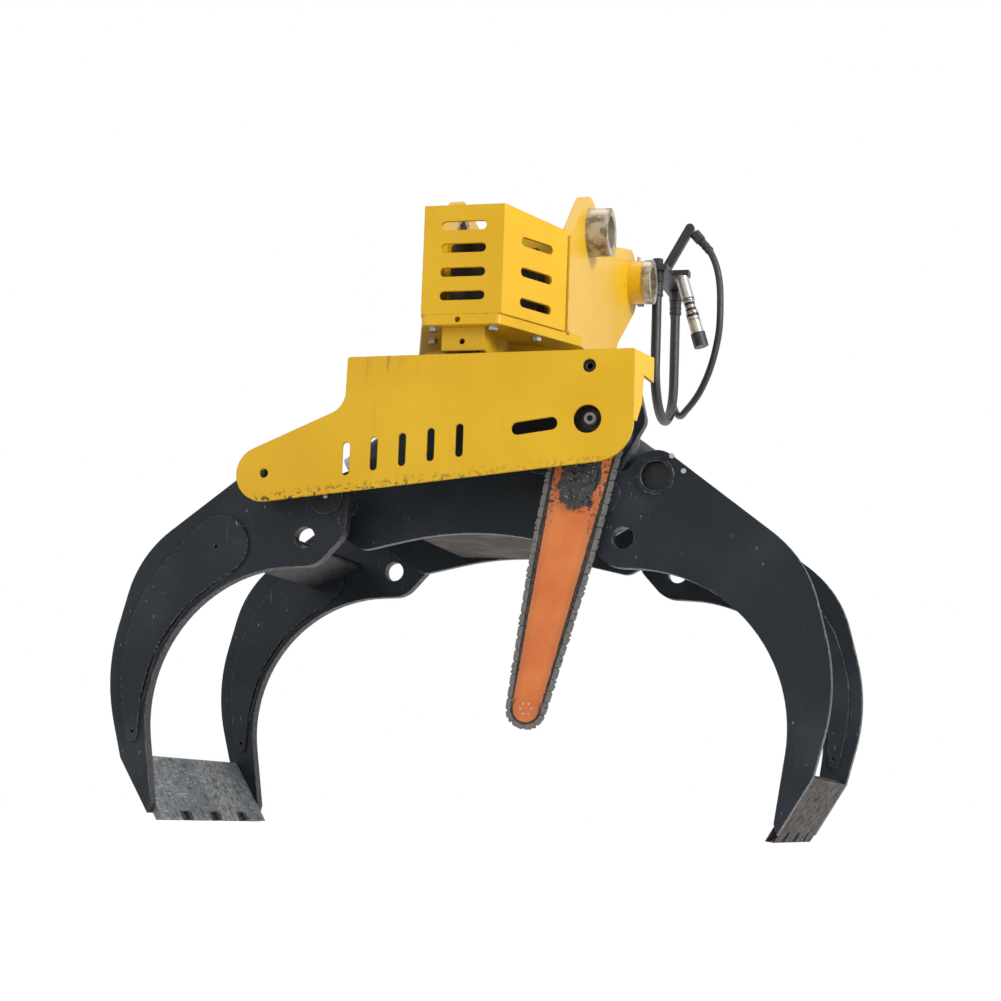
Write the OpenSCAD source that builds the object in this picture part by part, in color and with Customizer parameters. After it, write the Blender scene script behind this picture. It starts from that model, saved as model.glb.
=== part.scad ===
// Log grapple with chain saw and rotator, hung on two pins between an excavator's arm and link.
// Origin: middle of the arm pin bore. X runs along the pins, Y to the rear, Z up.

/* [Pins and bushes] */
// Distance between the arm pin and the link pin
pin_spacing = 380; // [340:5:420]
// Diameter of both pin bores
pin_bore_d = 60; // [50:1:70]
// Outer diameter of the pin bushes
bush_od = 88; // [80:1:96]
// Inner distance between the two ears
ear_gap = 220; // [200:5:240]
// How far the middle of the pins stands to the saw side of the slew axis
hitch_shift = 20; // [10:1:26]
// Thickness of an ear plate
ear_t = 20; // [16:1:25]
// How far a bush stands out past its ear
bush_out = 40; // [30:1:50]
// Height of the pins over the top of the head's base plate
pin_height = 220; // [200:5:260]

/* [Head] */
// Thickness of the head's base plate
base_t = 18; // [14:1:24]
// Sheet thickness of the front cover
cover_t = 6; // [4:1:8]
// Height of the front cover at its front face
cover_h = 191; // [170:1:210]
// Thickness of the bulkheads between the ears
bulkhead_t = 12; // [10:1:16]

/* [Slew ring] */
// Number of teeth on the slew ring
ring_teeth = 60; // [48:1:64]
// Number of teeth on the slew pinion
pinion_teeth = 13; // [12:1:16]
// Gear module of the ring and the pinion
gear_module = 5; // [4.5:0.25:5.5]
// Height of each slew ring race
ring_h = 39; // [34:1:44]
// How far the inner race stands above the outer one
race_step = 10; // [8:1:14]

/* [Frame] */
// Distance from the arm pin back to the slew axis
slew_back = 370; // [350:5:390]
// Height of the frame's top face over the tine pivots
frame_h = 238; // [230:2:260]
// Thickness of the front and rear frame plates
frame_t = 16; // [12:1:20]
// Distance between the two frame plates
frame_gap = 353; // [330:1:370]
// Distance from the middle to each tine pivot
pivot_x = 244; // [235:1:255]
// Diameter of the tine pivot pins
pivot_d = 45; // [40:1:50]

/* [Tines] */
// Distance over the front and rear plates of a tine
tine_w = 545; // [520:5:570]
// Plate thickness of a tine
tine_t = 25; // [20:1:30]
// Radius of the outer edge of a tine
tine_outer_r = 328; // [318:1:334]
// Difference between the radii of a tine's outer and inner edges
tine_back = 66; // [60:1:72]
// Thickness of the welded doublers
doubler_t = 6; // [4:1:8]
// Thickness of the tip plate
tip_t = 14; // [10:1:18]

/* [Cylinders] */
// Distance from the middle to each cylinder anchor pin
anchor_x = 120; // [115:1:125]
// Outer diameter of a cylinder barrel
barrel_d = 84; // [76:1:90]
// Diameter of a piston rod
rod_d = 45; // [36:1:50]

/* [Saw] */
// Distance from the saw axis to the middle of the bar nose
bar_reach = 492; // [440:1:510]
// Thickness of the saw bar
bar_t = 6; // [5:0.5:8]
// Radius of the saw bar at the drive end
bar_root_r = 51; // [48:0.5:54]
// Radius of the saw bar nose
bar_nose_r = 25; // [22:1:28]
// Distance between two rivets of the chain
chain_pitch = 20.5; // [18:0.5:24]
// Sheet thickness of the saw guard
guard_t = 6; // [4:1:8]

/* [Hidden] */
$fn = 64;

// Overrun of every cut, running clearance and standing gap
cut = 1;
fit = 0.05;
gap = 0.3;

// Radius over which the arcs of an outline get finer steps
flat_r = 250;

// Heights over the tine pivots
frame_top = frame_h;
top_plate_t = 18;
frame_under = frame_top - top_plate_t;
ring_in_z = frame_top + race_step;
base_under = ring_in_z + ring_h;
base_top = base_under + base_t;
pin_z = base_top + pin_height;

// Depths from the slew axis
link_y = slew_back - pin_spacing;
plate_y = frame_gap / 2;
frame_front_y = -plate_y - frame_t;
tine_y = tine_w / 2;
tine_in_y = tine_y - tine_t;

// Steel shades as they are painted and worn
yellow = [0.86, 0.67, 0.12];
blue_black = [0.16, 0.18, 0.21];
worn = [0.42, 0.39, 0.36];
steel = [0.62, 0.6, 0.56];
rubber = [0.1, 0.1, 0.11];
orange = [0.81, 0.45, 0.2];

// Direction of the straight run from one roller [x, y, r] to the next
function run_angle(p, q) =
    let (dx = q[0] - p[0], dy = q[1] - p[1], far = max(norm([dx, dy]), 0.001))
    atan2(dy, dx) - asin(max(-1, min(1, (q[2] - p[2]) / far)));

// Turn from one run to the next, left round a boss and right round a hollow
function turn(a, b, r) =
    let (t = ((b - a) % 360 + 360) % 360)
    r < 0 ? (t > 0.01 ? t - 360 : 0) : (t > 359.99 ? 0 : t);

// Outline pulled tight round rollers, anticlockwise, with hollows where r is negative
function belt(rollers, step = 6) =
    let (n = len(rollers), run = step * flat_r)
    [for (i = [0 : n - 1])
        let (c = rollers[i], a = run_angle(rollers[(i + n - 1) % n], c) - 90,
             b = run_angle(c, rollers[(i + 1) % n]) - 90, t = turn(a, b, c[2]),
             m = c[2] == 0 ? 0 : max(1, ceil(abs(t) / min(step, run / abs(c[2])))))
        for (k = [0 : m])
            let (w = m == 0 ? a : a + t * k / m)
            [c[0] + c[2] * cos(w), c[1] + c[2] * sin(w)]];

function flip(rollers) = [for (i = [len(rollers) - 1 : -1 : 0])
    [-rollers[i][0], rollers[i][1], rollers[i][2]]];

// From the middle of the arm pin to the slew axis, at the height of the tine pivots
module at_grapple() {
    translate([-hitch_shift, -slew_back, -pin_z]) children();
}

// A profile in X and Z, extruded along Y from y0
module plate_xz(y0, t) {
    translate([0, y0 + t, 0]) rotate([90, 0, 0]) linear_extrude(t) children();
}

// A profile in Y and Z, extruded along X from x0
module plate_yz(x0, t) {
    translate([x0, 0, 0]) rotate([90, 0, 90]) linear_extrude(t) children();
}

// A round bar along Y
module bar_y(x, z, r, y0, y1) {
    translate([x, y1, z]) rotate([90, 0, 0]) cylinder(r = r, h = y1 - y0);
}

// A round bar along X
module bar_x(y, z, r, x0, x1) {
    translate([x0, y, z]) rotate([0, 90, 0]) cylinder(r = r, h = x1 - x0);
}

module slot2d(long, wide) {
    polygon(belt([[wide / 2 - long / 2, 0, wide / 2], [long / 2 - wide / 2, 0, wide / 2]], 15));
}

// Slew ring: radii worked out from the gear
pitch_r = ring_teeth * gear_module / 2;
pinion_pitch_r = pinion_teeth * gear_module / 2;
race_r = pitch_r - 5 * gear_module;
race_w = 20;
bolt_circle_r = race_r - race_w / 2;
pinion_y = -pitch_r - pinion_pitch_r;
addendum = 0.85 * gear_module;
dedendum = 1.2 * gear_module;
shaft_r = 14;

// Head: outline sizes from the slew axis
head_right = hitch_shift + ear_gap / 2 + ear_t;
head_left = head_right - ear_gap - 2 * ear_t;
ear_x = [head_left, head_right - ear_t];
cover_half = 71;
cover_front_y = -322.5;
wing_y = -166.5;
base_half = 167;
base_left_y = -12;
base_right_y = -124;
head_rear_y = 197.5;
corner_r = 10;
swivel_hole_r = 60;
bolt_r = 5;
bolt_head_r = 9;
bolt_head_h = 8;
ring_bolts = 12;
front_hole = [-6, base_under + base_t / 2];
hole_deep = 15;

module gear2d(teeth, root_share, tip_share, phase) {
    pr = teeth * gear_module / 2;
    p = 360 / teeth;
    polygon([for (i = [0 : teeth - 1]) for (s = [-1, 1])
        for (k = s < 0 ? [0, 1] : [1, 0])
            let (r = k == 0 ? pr - dedendum : pr + addendum,
                 a = phase + i * p + s * p * (k == 0 ? root_share : tip_share))
            [r * cos(a), r * sin(a)]]);
}

module ring_bolt_places() {
    for (i = [0 : ring_bolts - 1])
        rotate([0, 0, (i + 0.5) * 360 / ring_bolts]) translate([bolt_circle_r, 0, 0]) children();
}

module hex_head(r, h) {
    cylinder(r = r, h = h, $fn = 6);
}

// Places of the bolts that hold the cover's feet on the base plate
foot_places = [[-52, -305], [52, -305], [106, -215], [-81, -210]];
foot_half = 12;

module cover_bolt_places() {
    for (p = foot_places) translate([p[0], p[1], base_under]) children();
}

module head_outline() {
    polygon(belt([[-base_half + corner_r, head_rear_y - corner_r, corner_r],
                  [-base_half + corner_r, base_left_y, corner_r],
                  [-cover_half + corner_r, cover_front_y + corner_r, corner_r],
                  [cover_half - corner_r, cover_front_y + corner_r, corner_r],
                  [base_half - corner_r, base_right_y, corner_r],
                  [base_half - corner_r, head_rear_y - corner_r, corner_r]], 15));
}

module head_base_plate() {
    color(yellow) at_grapple() difference() {
        translate([0, 0, base_under]) linear_extrude(base_t) head_outline();
        translate([0, 0, base_under - cut]) {
            cylinder(r = swivel_hole_r, h = base_t + 2 * cut);
            translate([0, pinion_y, 0]) cylinder(r = shaft_r + fit + gap, h = base_t + 2 * cut);
            ring_bolt_places() cylinder(r = bolt_r + fit, h = base_t + 2 * cut);
        }
        translate([0, 0, -cut]) cover_bolt_places() cylinder(r = bolt_r + fit, h = base_t + 2 * cut);
        bar_y(front_hole[0], front_hole[1], bolt_r, cover_front_y - cut, cover_front_y + hole_deep);
    }
}

// Ears: rear foot, the saddle between the two lobes, and the boss of the arm pin's bush
ear_lobe_r = 66;
ear_foot_y = 262;
ear_foot_z = base_top + 74;
saddle_r = 110;
ear_top_front_z = base_top + 165;
ear_boss_r = 42.5;
boss_len = 30;
sleeve_r = 37;
lock_hole = [310, pin_z - 20];
lock_hole_r = 4;

module ear_profile() {
    polygon(belt([[wing_y, base_top, 0], [head_rear_y, base_top, 0],
                  [ear_foot_y, ear_foot_z, 0],
                  [slew_back, pin_z, ear_lobe_r],
                  [(slew_back + link_y) / 2, pin_z + 1.25 * saddle_r, -saddle_r],
                  [link_y, pin_z, ear_lobe_r],
                  [wing_y + corner_r, ear_top_front_z, corner_r]]));
}

module head_ear(side) {
    x0 = ear_x[side];
    far = x0 + ear_t;
    x1 = side == 0 ? x0 - boss_len : x0;
    x2 = side == 0 ? far : far + boss_len;
    difference() {
        union() {
            plate_yz(x0, ear_t) ear_profile();
            bar_x(slew_back, pin_z, ear_boss_r, x1, x2);
        }
        bar_x(link_y, pin_z, bush_od / 2 + fit, x0 - cut, far + cut);
        bar_x(slew_back, pin_z, sleeve_r + fit, x1 - cut, x2 + cut);
        bar_x(lock_hole[0], lock_hole[1], lock_hole_r, x0 - cut, far + cut);
    }
}

module head_ear_left() {
    color(yellow) at_grapple() head_ear(0);
}

module head_ear_right() {
    color(yellow) at_grapple() head_ear(1);
}

module link_bushes() {
    color(steel) at_grapple() for (side = [0, 1]) difference() {
        x0 = side == 0 ? ear_x[0] - bush_out : ear_x[1];
        x1 = x0 + ear_t + bush_out;
        bar_x(link_y, pin_z, bush_od / 2, x0, x1);
        bar_x(link_y, pin_z, pin_bore_d / 2, x0 - cut, x1 + cut);
    }
}

// The arm pin's bushes have a collar that stands on the boss
arm_out = bush_out + 6;

module arm_bushes() {
    color(steel) at_grapple() for (side = [0, 1]) difference() {
        x0 = side == 0 ? ear_x[0] - arm_out : ear_x[1];
        x1 = x0 + ear_t + arm_out;
        union() {
            bar_x(slew_back, pin_z, sleeve_r, x0, x1);
            bar_x(slew_back, pin_z, bush_od / 2, side == 0 ? x0 : head_right + boss_len,
                  side == 0 ? ear_x[0] - boss_len : x1);
        }
        bar_x(slew_back, pin_z, pin_bore_d / 2, x0 - cut, x1 + cut);
    }
}

bulkhead_y = -112;
bulkhead_h = 190;

module head_front_bulkhead() {
    color(yellow) at_grapple()
        translate([ear_x[0] + ear_t, bulkhead_y, base_top]) cube([ear_gap, bulkhead_t, bulkhead_h]);
}

rear_plate_h = 60;

module head_rear_cross_plate() {
    color(yellow) at_grapple()
        translate([ear_x[0] + ear_t, head_rear_y - bulkhead_t, base_top])
        cube([ear_gap, bulkhead_t, rear_plate_h]);
}

// Cover: slots in its front face and in its slanted wings
front_slot_w = 80;
slot_h = 16;
front_slot_shares = [0.17, 0.385, 0.605, 0.81];
wing_slot_w = 82;
wing_slot_shares = [0.15, 0.43, 0.71];
cover_drop = 13;

module cover_outline(inset) {
    polygon([[head_left + inset, wing_y], [-cover_half + inset, cover_front_y + inset],
             [cover_half - inset, cover_front_y + inset], [head_right - inset, wing_y]]);
}

function wing_run(side) = [side > 0 ? head_right - cover_half : head_left + cover_half,
                           wing_y - cover_front_y];

module on_wing(side) {
    run = wing_run(side);
    translate([side * cover_half, cover_front_y, 0]) rotate([0, 0, atan2(run[1], run[0])])
        translate([norm(run) / 2, 0, 0]) children();
}

module head_cover() {
    color(yellow) at_grapple() difference() {
        union() {
            difference() {
                translate([0, 0, base_top]) linear_extrude(cover_h) cover_outline(0);
                translate([0, 0, base_top - cut]) linear_extrude(cover_h - cover_t + cut)
                    cover_outline(cover_t);
                translate([head_left, wing_y - cover_t, base_top - cut])
                    cube([head_right - head_left, 2 * cover_t, cover_h - cover_drop - cover_t]);
            }
            for (p = foot_places)
                translate([p[0] - foot_half, p[1] - foot_half, base_top])
                cube([2 * foot_half, 2 * foot_half, cover_t]);
        }
        translate([0, cover_front_y + cover_t, base_top + cover_h])
            rotate([-atan2(cover_drop, wing_y - cover_front_y), 0, 0])
            translate([-2 * base_half, 0, 0]) cube([4 * base_half, 2 * base_half, cover_h]);
        for (s = front_slot_shares)
            plate_xz(cover_front_y - cut, cover_t + 2 * cut)
            translate([0, base_top + s * cover_h]) slot2d(front_slot_w, slot_h);
        for (side = [-1, 1]) on_wing(side) for (s = wing_slot_shares)
            plate_xz(-2 * cover_t, 4 * cover_t)
            translate([0, base_top + s * cover_h]) slot2d(wing_slot_w, slot_h);
        cover_bolt_places() cylinder(r = bolt_r + fit, h = base_t + 2 * cover_t);
    }
}

module cover_bolts() {
    color(steel) at_grapple() cover_bolt_places() {
        translate([0, 0, -bolt_head_h]) hex_head(bolt_head_r, bolt_head_h);
        translate([0, 0, -gap]) cylinder(r = bolt_r, h = base_t + cover_t + 2 * gap);
        translate([0, 0, base_t + cover_t + gap / 2]) hex_head(bolt_head_r, bolt_head_h);
    }
}

// Slew motor, with the block of its relief valve on the saw side
motor_r = 60;
motor_h = 150;
motor_flange_t = 14;
motor_flange_half = 64;
port_r = 15;
valve_block = [48, 60, 120];
valve_z = 20;

module slew_motor() {
    color(blue_black) at_grapple() translate([0, pinion_y, base_top]) {
        difference() {
            union() {
                translate([-motor_flange_half, -motor_flange_half, 0])
                    cube([2 * motor_flange_half, 2 * motor_flange_half, motor_flange_t]);
                cylinder(r = motor_r, h = motor_h);
                translate([motor_r - bolt_r, -valve_block[1] / 2, valve_z]) cube(valve_block);
                for (s = [-1, 1]) translate([s * motor_r / 2, 0, 0])
                    cylinder(r = port_r, h = motor_h + motor_flange_t);
            }
            translate([0, 0, -cut]) cylinder(r = shaft_r + fit, h = motor_h / 2);
        }
    }
}

tooth_gap_z = 2;

module slew_pinion() {
    color(steel) at_grapple() translate([0, pinion_y, 0]) {
        translate([0, 0, frame_top + tooth_gap_z]) linear_extrude(ring_h - 2 * tooth_gap_z)
            gear2d(pinion_teeth, 0.32, 0.1, 90 + 180 / pinion_teeth);
        translate([0, 0, frame_top + ring_h / 2])
            cylinder(r = shaft_r, h = base_top - frame_top - ring_h / 2 + motor_h / 2 - 2 * tooth_gap_z);
    }
}

module slew_ring_outer() {
    color(steel) at_grapple() translate([0, 0, frame_top]) difference() {
        linear_extrude(ring_h) gear2d(ring_teeth, 0.36, 0.14, 270);
        translate([0, 0, -cut]) cylinder(r = race_r + fit, h = ring_h + 2 * cut);
    }
}

module slew_ring_inner() {
    color(steel) at_grapple() translate([0, 0, ring_in_z]) difference() {
        cylinder(r = race_r, h = ring_h);
        translate([0, 0, -cut]) cylinder(r = race_r - race_w, h = ring_h + 2 * cut);
        translate([0, 0, -cut]) ring_bolt_places() cylinder(r = bolt_r + fit, h = ring_h + 2 * cut);
    }
}

module slew_ring_bolts() {
    color(steel) at_grapple() ring_bolt_places() {
        translate([0, 0, ring_in_z - bolt_head_h]) hex_head(bolt_head_r - 1.5 * gap, bolt_head_h);
        translate([0, 0, ring_in_z - gap]) cylinder(r = bolt_r, h = ring_h + base_t);
    }
}

// Guard round the ring gear, with a box for the pinion in front
guard_half = 38;
guard_front_y = -302.5;
skirt_r = 165;
skirt_h = 41;
skirt_t = 6;
pinion_room_r = 48;
guard_hole = [-2, base_under - 25];

module ring_guard_outline(inset) {
    circle(r = skirt_r - inset);
    translate([0, pinion_y]) circle(r = pinion_room_r - inset);
    translate([-guard_half + inset, guard_front_y + inset])
        square([2 * (guard_half - inset), -guard_front_y - inset]);
}

module pinion_guard() {
    color(yellow) at_grapple() difference() {
        translate([0, 0, base_under - skirt_h]) linear_extrude(skirt_h) ring_guard_outline(0);
        translate([0, 0, base_under - skirt_h - cut]) linear_extrude(skirt_h + 2 * cut)
            ring_guard_outline(skirt_t);
        bar_y(guard_hole[0], guard_hole[1], bolt_r, guard_front_y - cut, guard_front_y + hole_deep);
    }
}

// Oil swivel: its core stands on the frame, and its housing turns with the head
core_r = 25;
core_foot_r = 70;
core_foot_t = 10;
core_h = 92;
core_top = base_top + core_h;
housing_r = 40;
housing_foot_r = 75;
housing_foot_t = 12;
housing_lid_t = 3;
nipple_z = 60;
nipple_out = 14;

module swivel_housing() {
    color(blue_black) at_grapple() translate([0, 0, base_top]) difference() {
        union() {
            cylinder(r = housing_foot_r, h = housing_foot_t);
            cylinder(r = housing_r, h = core_h + housing_lid_t);
            for (s = [-1, 1]) translate([0, 0, nipple_z]) rotate([0, s * 90, 0])
                cylinder(r = bolt_head_r, h = housing_r + nipple_out);
        }
        translate([0, 0, -cut]) cylinder(r = core_r + fit, h = core_h + cut + gap);
    }
}

module swivel_core() {
    color(steel) at_grapple() {
        translate([0, 0, frame_top]) cylinder(r = core_foot_r, h = core_foot_t);
        translate([0, 0, frame_under]) cylinder(r = core_r, h = core_top - frame_under);
    }
}

// Frame
top_half = 165;
sag_r = 560;
sag_z = -53;
knee = [195, -52, 30];
ear_r = 50;
shoulder = [148, frame_under - 12, 12];
shoulder_hollow = [238, 135, -75];

module frame_outline() {
    right = [knee, [pivot_x, 0, ear_r], shoulder_hollow, shoulder];
    polygon(belt(concat([[0, sag_z - sag_r, -sag_r]], right, flip(right))));
}

module frame_plate(y0, hub_y, boss_y) {
    difference() {
        union() {
            plate_xz(y0, frame_t) frame_outline();
            for (s = [-1, 1]) bar_y(s * pivot_x, 0, boss_r, hub_y, boss_y);
        }
        for (s = [-1, 1])
            bar_y(s * pivot_x, 0, pivot_d / 2 + fit, min(hub_y, y0) - cut, max(boss_y, y0 + frame_t) + cut);
    }
}

boss_r = 31;

module frame_front_plate() {
    color(blue_black) at_grapple()
        frame_plate(frame_front_y, -tine_in_y + 1, frame_front_y);
}

module frame_rear_plate() {
    color(blue_black) at_grapple()
        frame_plate(plate_y, plate_y + frame_t, tine_in_y - 1);
}

module frame_top_plate() {
    color(blue_black) at_grapple() difference() {
        translate([-top_half, frame_front_y, frame_under])
            cube([2 * top_half, frame_gap + 2 * frame_t, top_plate_t]);
        translate([0, 0, frame_under - cut]) cylinder(r = core_r, h = top_plate_t + 2 * cut);
    }
}

floor_half = 118;
floor_t = 12;

module frame_bottom_plate() {
    color(worn) at_grapple()
        translate([-floor_half, -plate_y, sag_z]) cube([2 * floor_half, frame_gap, floor_t]);
}

web_x = 64;
web_t = 12;
eye_r = 30;
eye_w = 50;
anchor_z = frame_under - eye_r - 4;
anchor_r = 20;
lug_t = 16;
lug_out = 34;

module frame_side_webs() {
    color(blue_black) at_grapple() for (s = [-1, 1]) {
        difference() {
            union() {
                translate([s > 0 ? web_x : -web_x - web_t, -plate_y, sag_z + floor_t])
                    cube([web_t, frame_gap, frame_under - sag_z - floor_t]);
                for (t = [-1, 1])
                    plate_xz(t > 0 ? eye_w / 2 + 1 : -eye_w / 2 - 1 - lug_t, lug_t)
                    polygon([[s * (web_x + web_t), anchor_z - 2 * eye_r],
                             [s * (anchor_x + lug_out), anchor_z - anchor_r],
                             [s * (anchor_x + lug_out), frame_under],
                             [s * (web_x + web_t), frame_under]]);
            }
            bar_y(s * anchor_x, anchor_z, anchor_r + fit, -eye_w, eye_w);
        }
    }
}

module anchor_pins() {
    color(steel) at_grapple() for (s = [-1, 1])
        bar_y(s * anchor_x, anchor_z, anchor_r, -eye_w / 2 - lug_t - 5, eye_w / 2 + lug_t + 5);
}

// Each tine hangs on two short pins, so that the rod eye has room between them
cap_t = 5;
cap_recess_r = 15;
cap_recess = 2;
pin_in = 4;

module pivot_pin(s) {
    color(steel) at_grapple() for (k = [0, 1]) mirror([0, k, 0]) difference() {
        union() {
            bar_y(s * pivot_x, 0, pivot_d / 2, -tine_y - gap, -plate_y + pin_in);
            bar_y(s * pivot_x, 0, boss_r, -tine_y - gap - cap_t, -tine_y - gap);
        }
        bar_y(s * pivot_x, 0, cap_recess_r, -tine_y - gap - 2 * cap_t,
              -tine_y - gap - cap_t + cap_recess);
    }
}

module pivot_pins_left() {
    pivot_pin(-1);
}

module pivot_pins_right() {
    pivot_pin(1);
}

// Tines: everything is measured from the pivot, and mirrored for the left one
rod_pin = [89, 33];
rod_pin_r = 25;
spare = [36, -71];
spare_r = 18.5;
tine_lobe_r = 44;
neck = [20, 72, -34];
pivot_lobe_r = 40;
heel = [8, -46, 46];
spare_lobe_r = 50;
inner_c = [52, -384];
outer_c = [56, -310];
tine_inner_r = tine_outer_r - tine_back;

// Shares of the outer radius, from the middle of the outer arc
edge_top_share = [0.9146, -0.4512];
elbow_share = [0.3323, 0.2744];
elbow_r_share = 0.6098;
doubler_top_share = [0.4085, 0.686];
doubler_top_r_share = 0.1585;
doubler_end_share = [0.8506, -0.3354];
edge_run = [60, 100];
edge_top = outer_c + tine_outer_r * edge_top_share;
edge_low = edge_top - edge_run;
edge_angle = atan2(edge_run[1], edge_run[0]);
edge_in = [-sin(edge_angle), cos(edge_angle)];
edge_up = [cos(edge_angle), sin(edge_angle)];
tip_rise = 21;
tip_end = 8;

function by_share(share, r) = [outer_c[0] + tine_outer_r * share[0],
                               outer_c[1] + tine_outer_r * share[1], r];

module at_tine(s) {
    at_grapple() translate([s * pivot_x, 0, 0]) mirror([s < 0 ? 1 : 0, 0, 0]) children();
}

module tine_outline() {
    tip = edge_low + tip_t * edge_in + tip_rise * edge_up;
    low = edge_low + tip_end * edge_up;
    polygon(belt([[tip[0], tip[1], 0], [low[0], low[1], 0], [edge_top[0], edge_top[1], 0],
                  [outer_c[0], outer_c[1], tine_outer_r],
                  by_share(elbow_share, tine_outer_r * elbow_r_share),
                  [rod_pin[0], rod_pin[1], tine_lobe_r], neck, [0, 0, pivot_lobe_r], heel,
                  [spare[0], spare[1], spare_lobe_r],
                  [inner_c[0], inner_c[1], -tine_inner_r]], 4));
}

module tine_plate(s, y0) {
    at_tine(s) difference() {
        union() {
            plate_xz(y0, tine_t) tine_outline();
            bar_y(rod_pin[0], rod_pin[1], ring_r, y0 < 0 ? y0 - ring_proud : y0,
                  y0 < 0 ? y0 + tine_t : y0 + tine_t + ring_proud);
        }
        bar_y(0, 0, pivot_d / 2 + fit, y0 - cut, y0 + tine_t + cut);
        bar_y(rod_pin[0], rod_pin[1], rod_pin_r + fit, y0 - 2 * ring_proud,
              y0 + tine_t + 2 * ring_proud);
        bar_y(spare[0], spare[1], spare_r, y0 - cut, y0 + tine_t + cut);
    }
}

doubler_out = 23;
doubler_in = 10;
doubler_end_r = 9;
plug_hole_r = 3.5;
plug_at_top = [6, -3];
plug_at_end = [-1, 8];

module doubler_outline() {
    top = by_share(doubler_top_share, tine_outer_r * doubler_top_r_share);
    end = by_share(doubler_end_share, doubler_end_r);
    difference() {
        polygon(belt([end, [outer_c[0], outer_c[1], tine_outer_r - doubler_out], top,
                      [inner_c[0], inner_c[1], -tine_inner_r - doubler_in]], 4));
        translate([top[0] + plug_at_top[0], top[1] + plug_at_top[1]]) circle(r = plug_hole_r);
        translate([end[0] + plug_at_end[0], end[1] + plug_at_end[1]]) circle(r = plug_hole_r);
    }
}

// Front doublers lie outside on the left tine and inside on the right one
module tine_doublers(s) {
    at_tine(s) for (y0 = [s < 0 ? -tine_y - doubler_t : -tine_in_y, tine_in_y - doubler_t])
        plate_xz(y0, doubler_t) doubler_outline();
}

tip_over = 12;
tooth_gap = 20;
tooth_h = 12;

module tine_tip_plate(s) {
    at_tine(s) difference() {
        plate_xz(-tine_in_y, 2 * tine_in_y) polygon([
            edge_top + tip_t * edge_in, edge_low + tip_t * edge_in - tip_over * edge_up,
            edge_low - tip_over / 2 * edge_up, edge_top]);
        for (k = [-1 : 1]) translate([edge_low[0], k * tine_w / 4, edge_low[1]])
            translate([-3 * tip_t, -tooth_gap / 2, -2 * tooth_h])
            cube([6 * tip_t, tooth_gap, 3 * tooth_h]);
    }
}

tube_r = 38;
tube_clear = 8;
web_from = [110, -60];
web_to = [200, -100];
web_half = 6;

module tine_crossmember(s) {
    front = s < 0 ? -tine_in_y : -tine_in_y + doubler_t;
    at_tine(s) {
        difference() {
            union() {
                bar_y(rod_pin[0], rod_pin[1], tube_r, -tine_in_y, -eye_w / 2 - tube_clear);
                bar_y(rod_pin[0], rod_pin[1], tube_r, eye_w / 2 + tube_clear, tine_in_y);
            }
            bar_y(rod_pin[0], rod_pin[1], rod_pin_r + fit, -tine_y, tine_y);
        }
        plate_xz(front, tine_in_y - doubler_t - front)
            polygon(belt([[web_from[0], web_from[1], web_half],
                          [web_to[0], web_to[1], web_half]], 30));
    }
}

// The cylinder pin ends inside the plates, and a ring is welded round each of its bores
ring_r = 31;
ring_proud = 3;
pin_bite = 7;

module tine_cylinder_pin(s) {
    at_tine(s) {
        bar_y(rod_pin[0], rod_pin[1], rod_pin_r, -tine_in_y - pin_bite, tine_in_y + pin_bite);
    }
}

module tine_left_front_plate() {
    color(blue_black) tine_plate(-1, -tine_y);
}

module tine_left_rear_plate() {
    color(blue_black) tine_plate(-1, tine_in_y);
}

module tine_left_doublers() {
    color(blue_black) tine_doublers(-1);
}

module tine_left_tip_plate() {
    color(worn) tine_tip_plate(-1);
}

module tine_left_crossmember() {
    color(blue_black) tine_crossmember(-1);
}

module tine_left_cylinder_pin() {
    color(steel) tine_cylinder_pin(-1);
}

module tine_right_front_plate() {
    color(blue_black) tine_plate(1, -tine_y);
}

module tine_right_rear_plate() {
    color(blue_black) tine_plate(1, tine_in_y);
}

module tine_right_doublers() {
    color(blue_black) tine_doublers(1);
}

module tine_right_tip_plate() {
    color(worn) tine_tip_plate(1);
}

module tine_right_crossmember() {
    color(blue_black) tine_crossmember(1);
}

module tine_right_cylinder_pin() {
    color(steel) tine_cylinder_pin(1);
}

// Cylinders: along X from the anchor pin to the rod pin
stroke_run = [pivot_x + rod_pin[0] - anchor_x, rod_pin[1] - anchor_z];
cyl_len = norm(stroke_run);
cyl_angle = atan2(-stroke_run[1], stroke_run[0]);
bore_r = barrel_d / 2 - 7;
barrel_start = eye_r + 16;
barrel_end = 178;
gland_w = 16;
rod_eye_r = 44;
rod_eye_bore = 30;
piston_start = 64;

module at_cylinder(s) {
    at_grapple() mirror([s < 0 ? 1 : 0, 0, 0]) translate([anchor_x, 0, anchor_z])
        rotate([0, cyl_angle, 0]) children();
}

module cylinder_barrel(s) {
    at_cylinder(s) difference() {
        union() {
            bar_x(0, 0, barrel_d / 2, barrel_start, barrel_end);
            bar_x(0, 0, eye_w / 2, 0, barrel_start);
            bar_y(0, 0, eye_r, -eye_w / 2, eye_w / 2);
        }
        bar_x(0, 0, bore_r, barrel_start + 8, barrel_end + cut);
        bar_y(0, 0, anchor_r + fit, -eye_w, eye_w);
    }
}

module cylinder_gland(s) {
    at_cylinder(s) difference() {
        bar_x(0, 0, barrel_d / 2 + 3, barrel_end, barrel_end + gland_w);
        bar_x(0, 0, rod_d / 2 + fit, barrel_end - cut, barrel_end + gland_w + cut);
    }
}

module cylinder_rod(s) {
    at_cylinder(s) difference() {
        union() {
            bar_x(0, 0, bore_r - fit, piston_start, piston_start + 28);
            bar_x(0, 0, rod_d / 2, piston_start, cyl_len - rod_eye_bore - 2);
            bar_y(cyl_len, 0, rod_eye_r, -eye_w / 2, eye_w / 2);
        }
        bar_y(cyl_len, 0, rod_eye_bore, -eye_w, eye_w);
    }
}

module cylinder_left_barrel() {
    color(blue_black) cylinder_barrel(-1);
}

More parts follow.
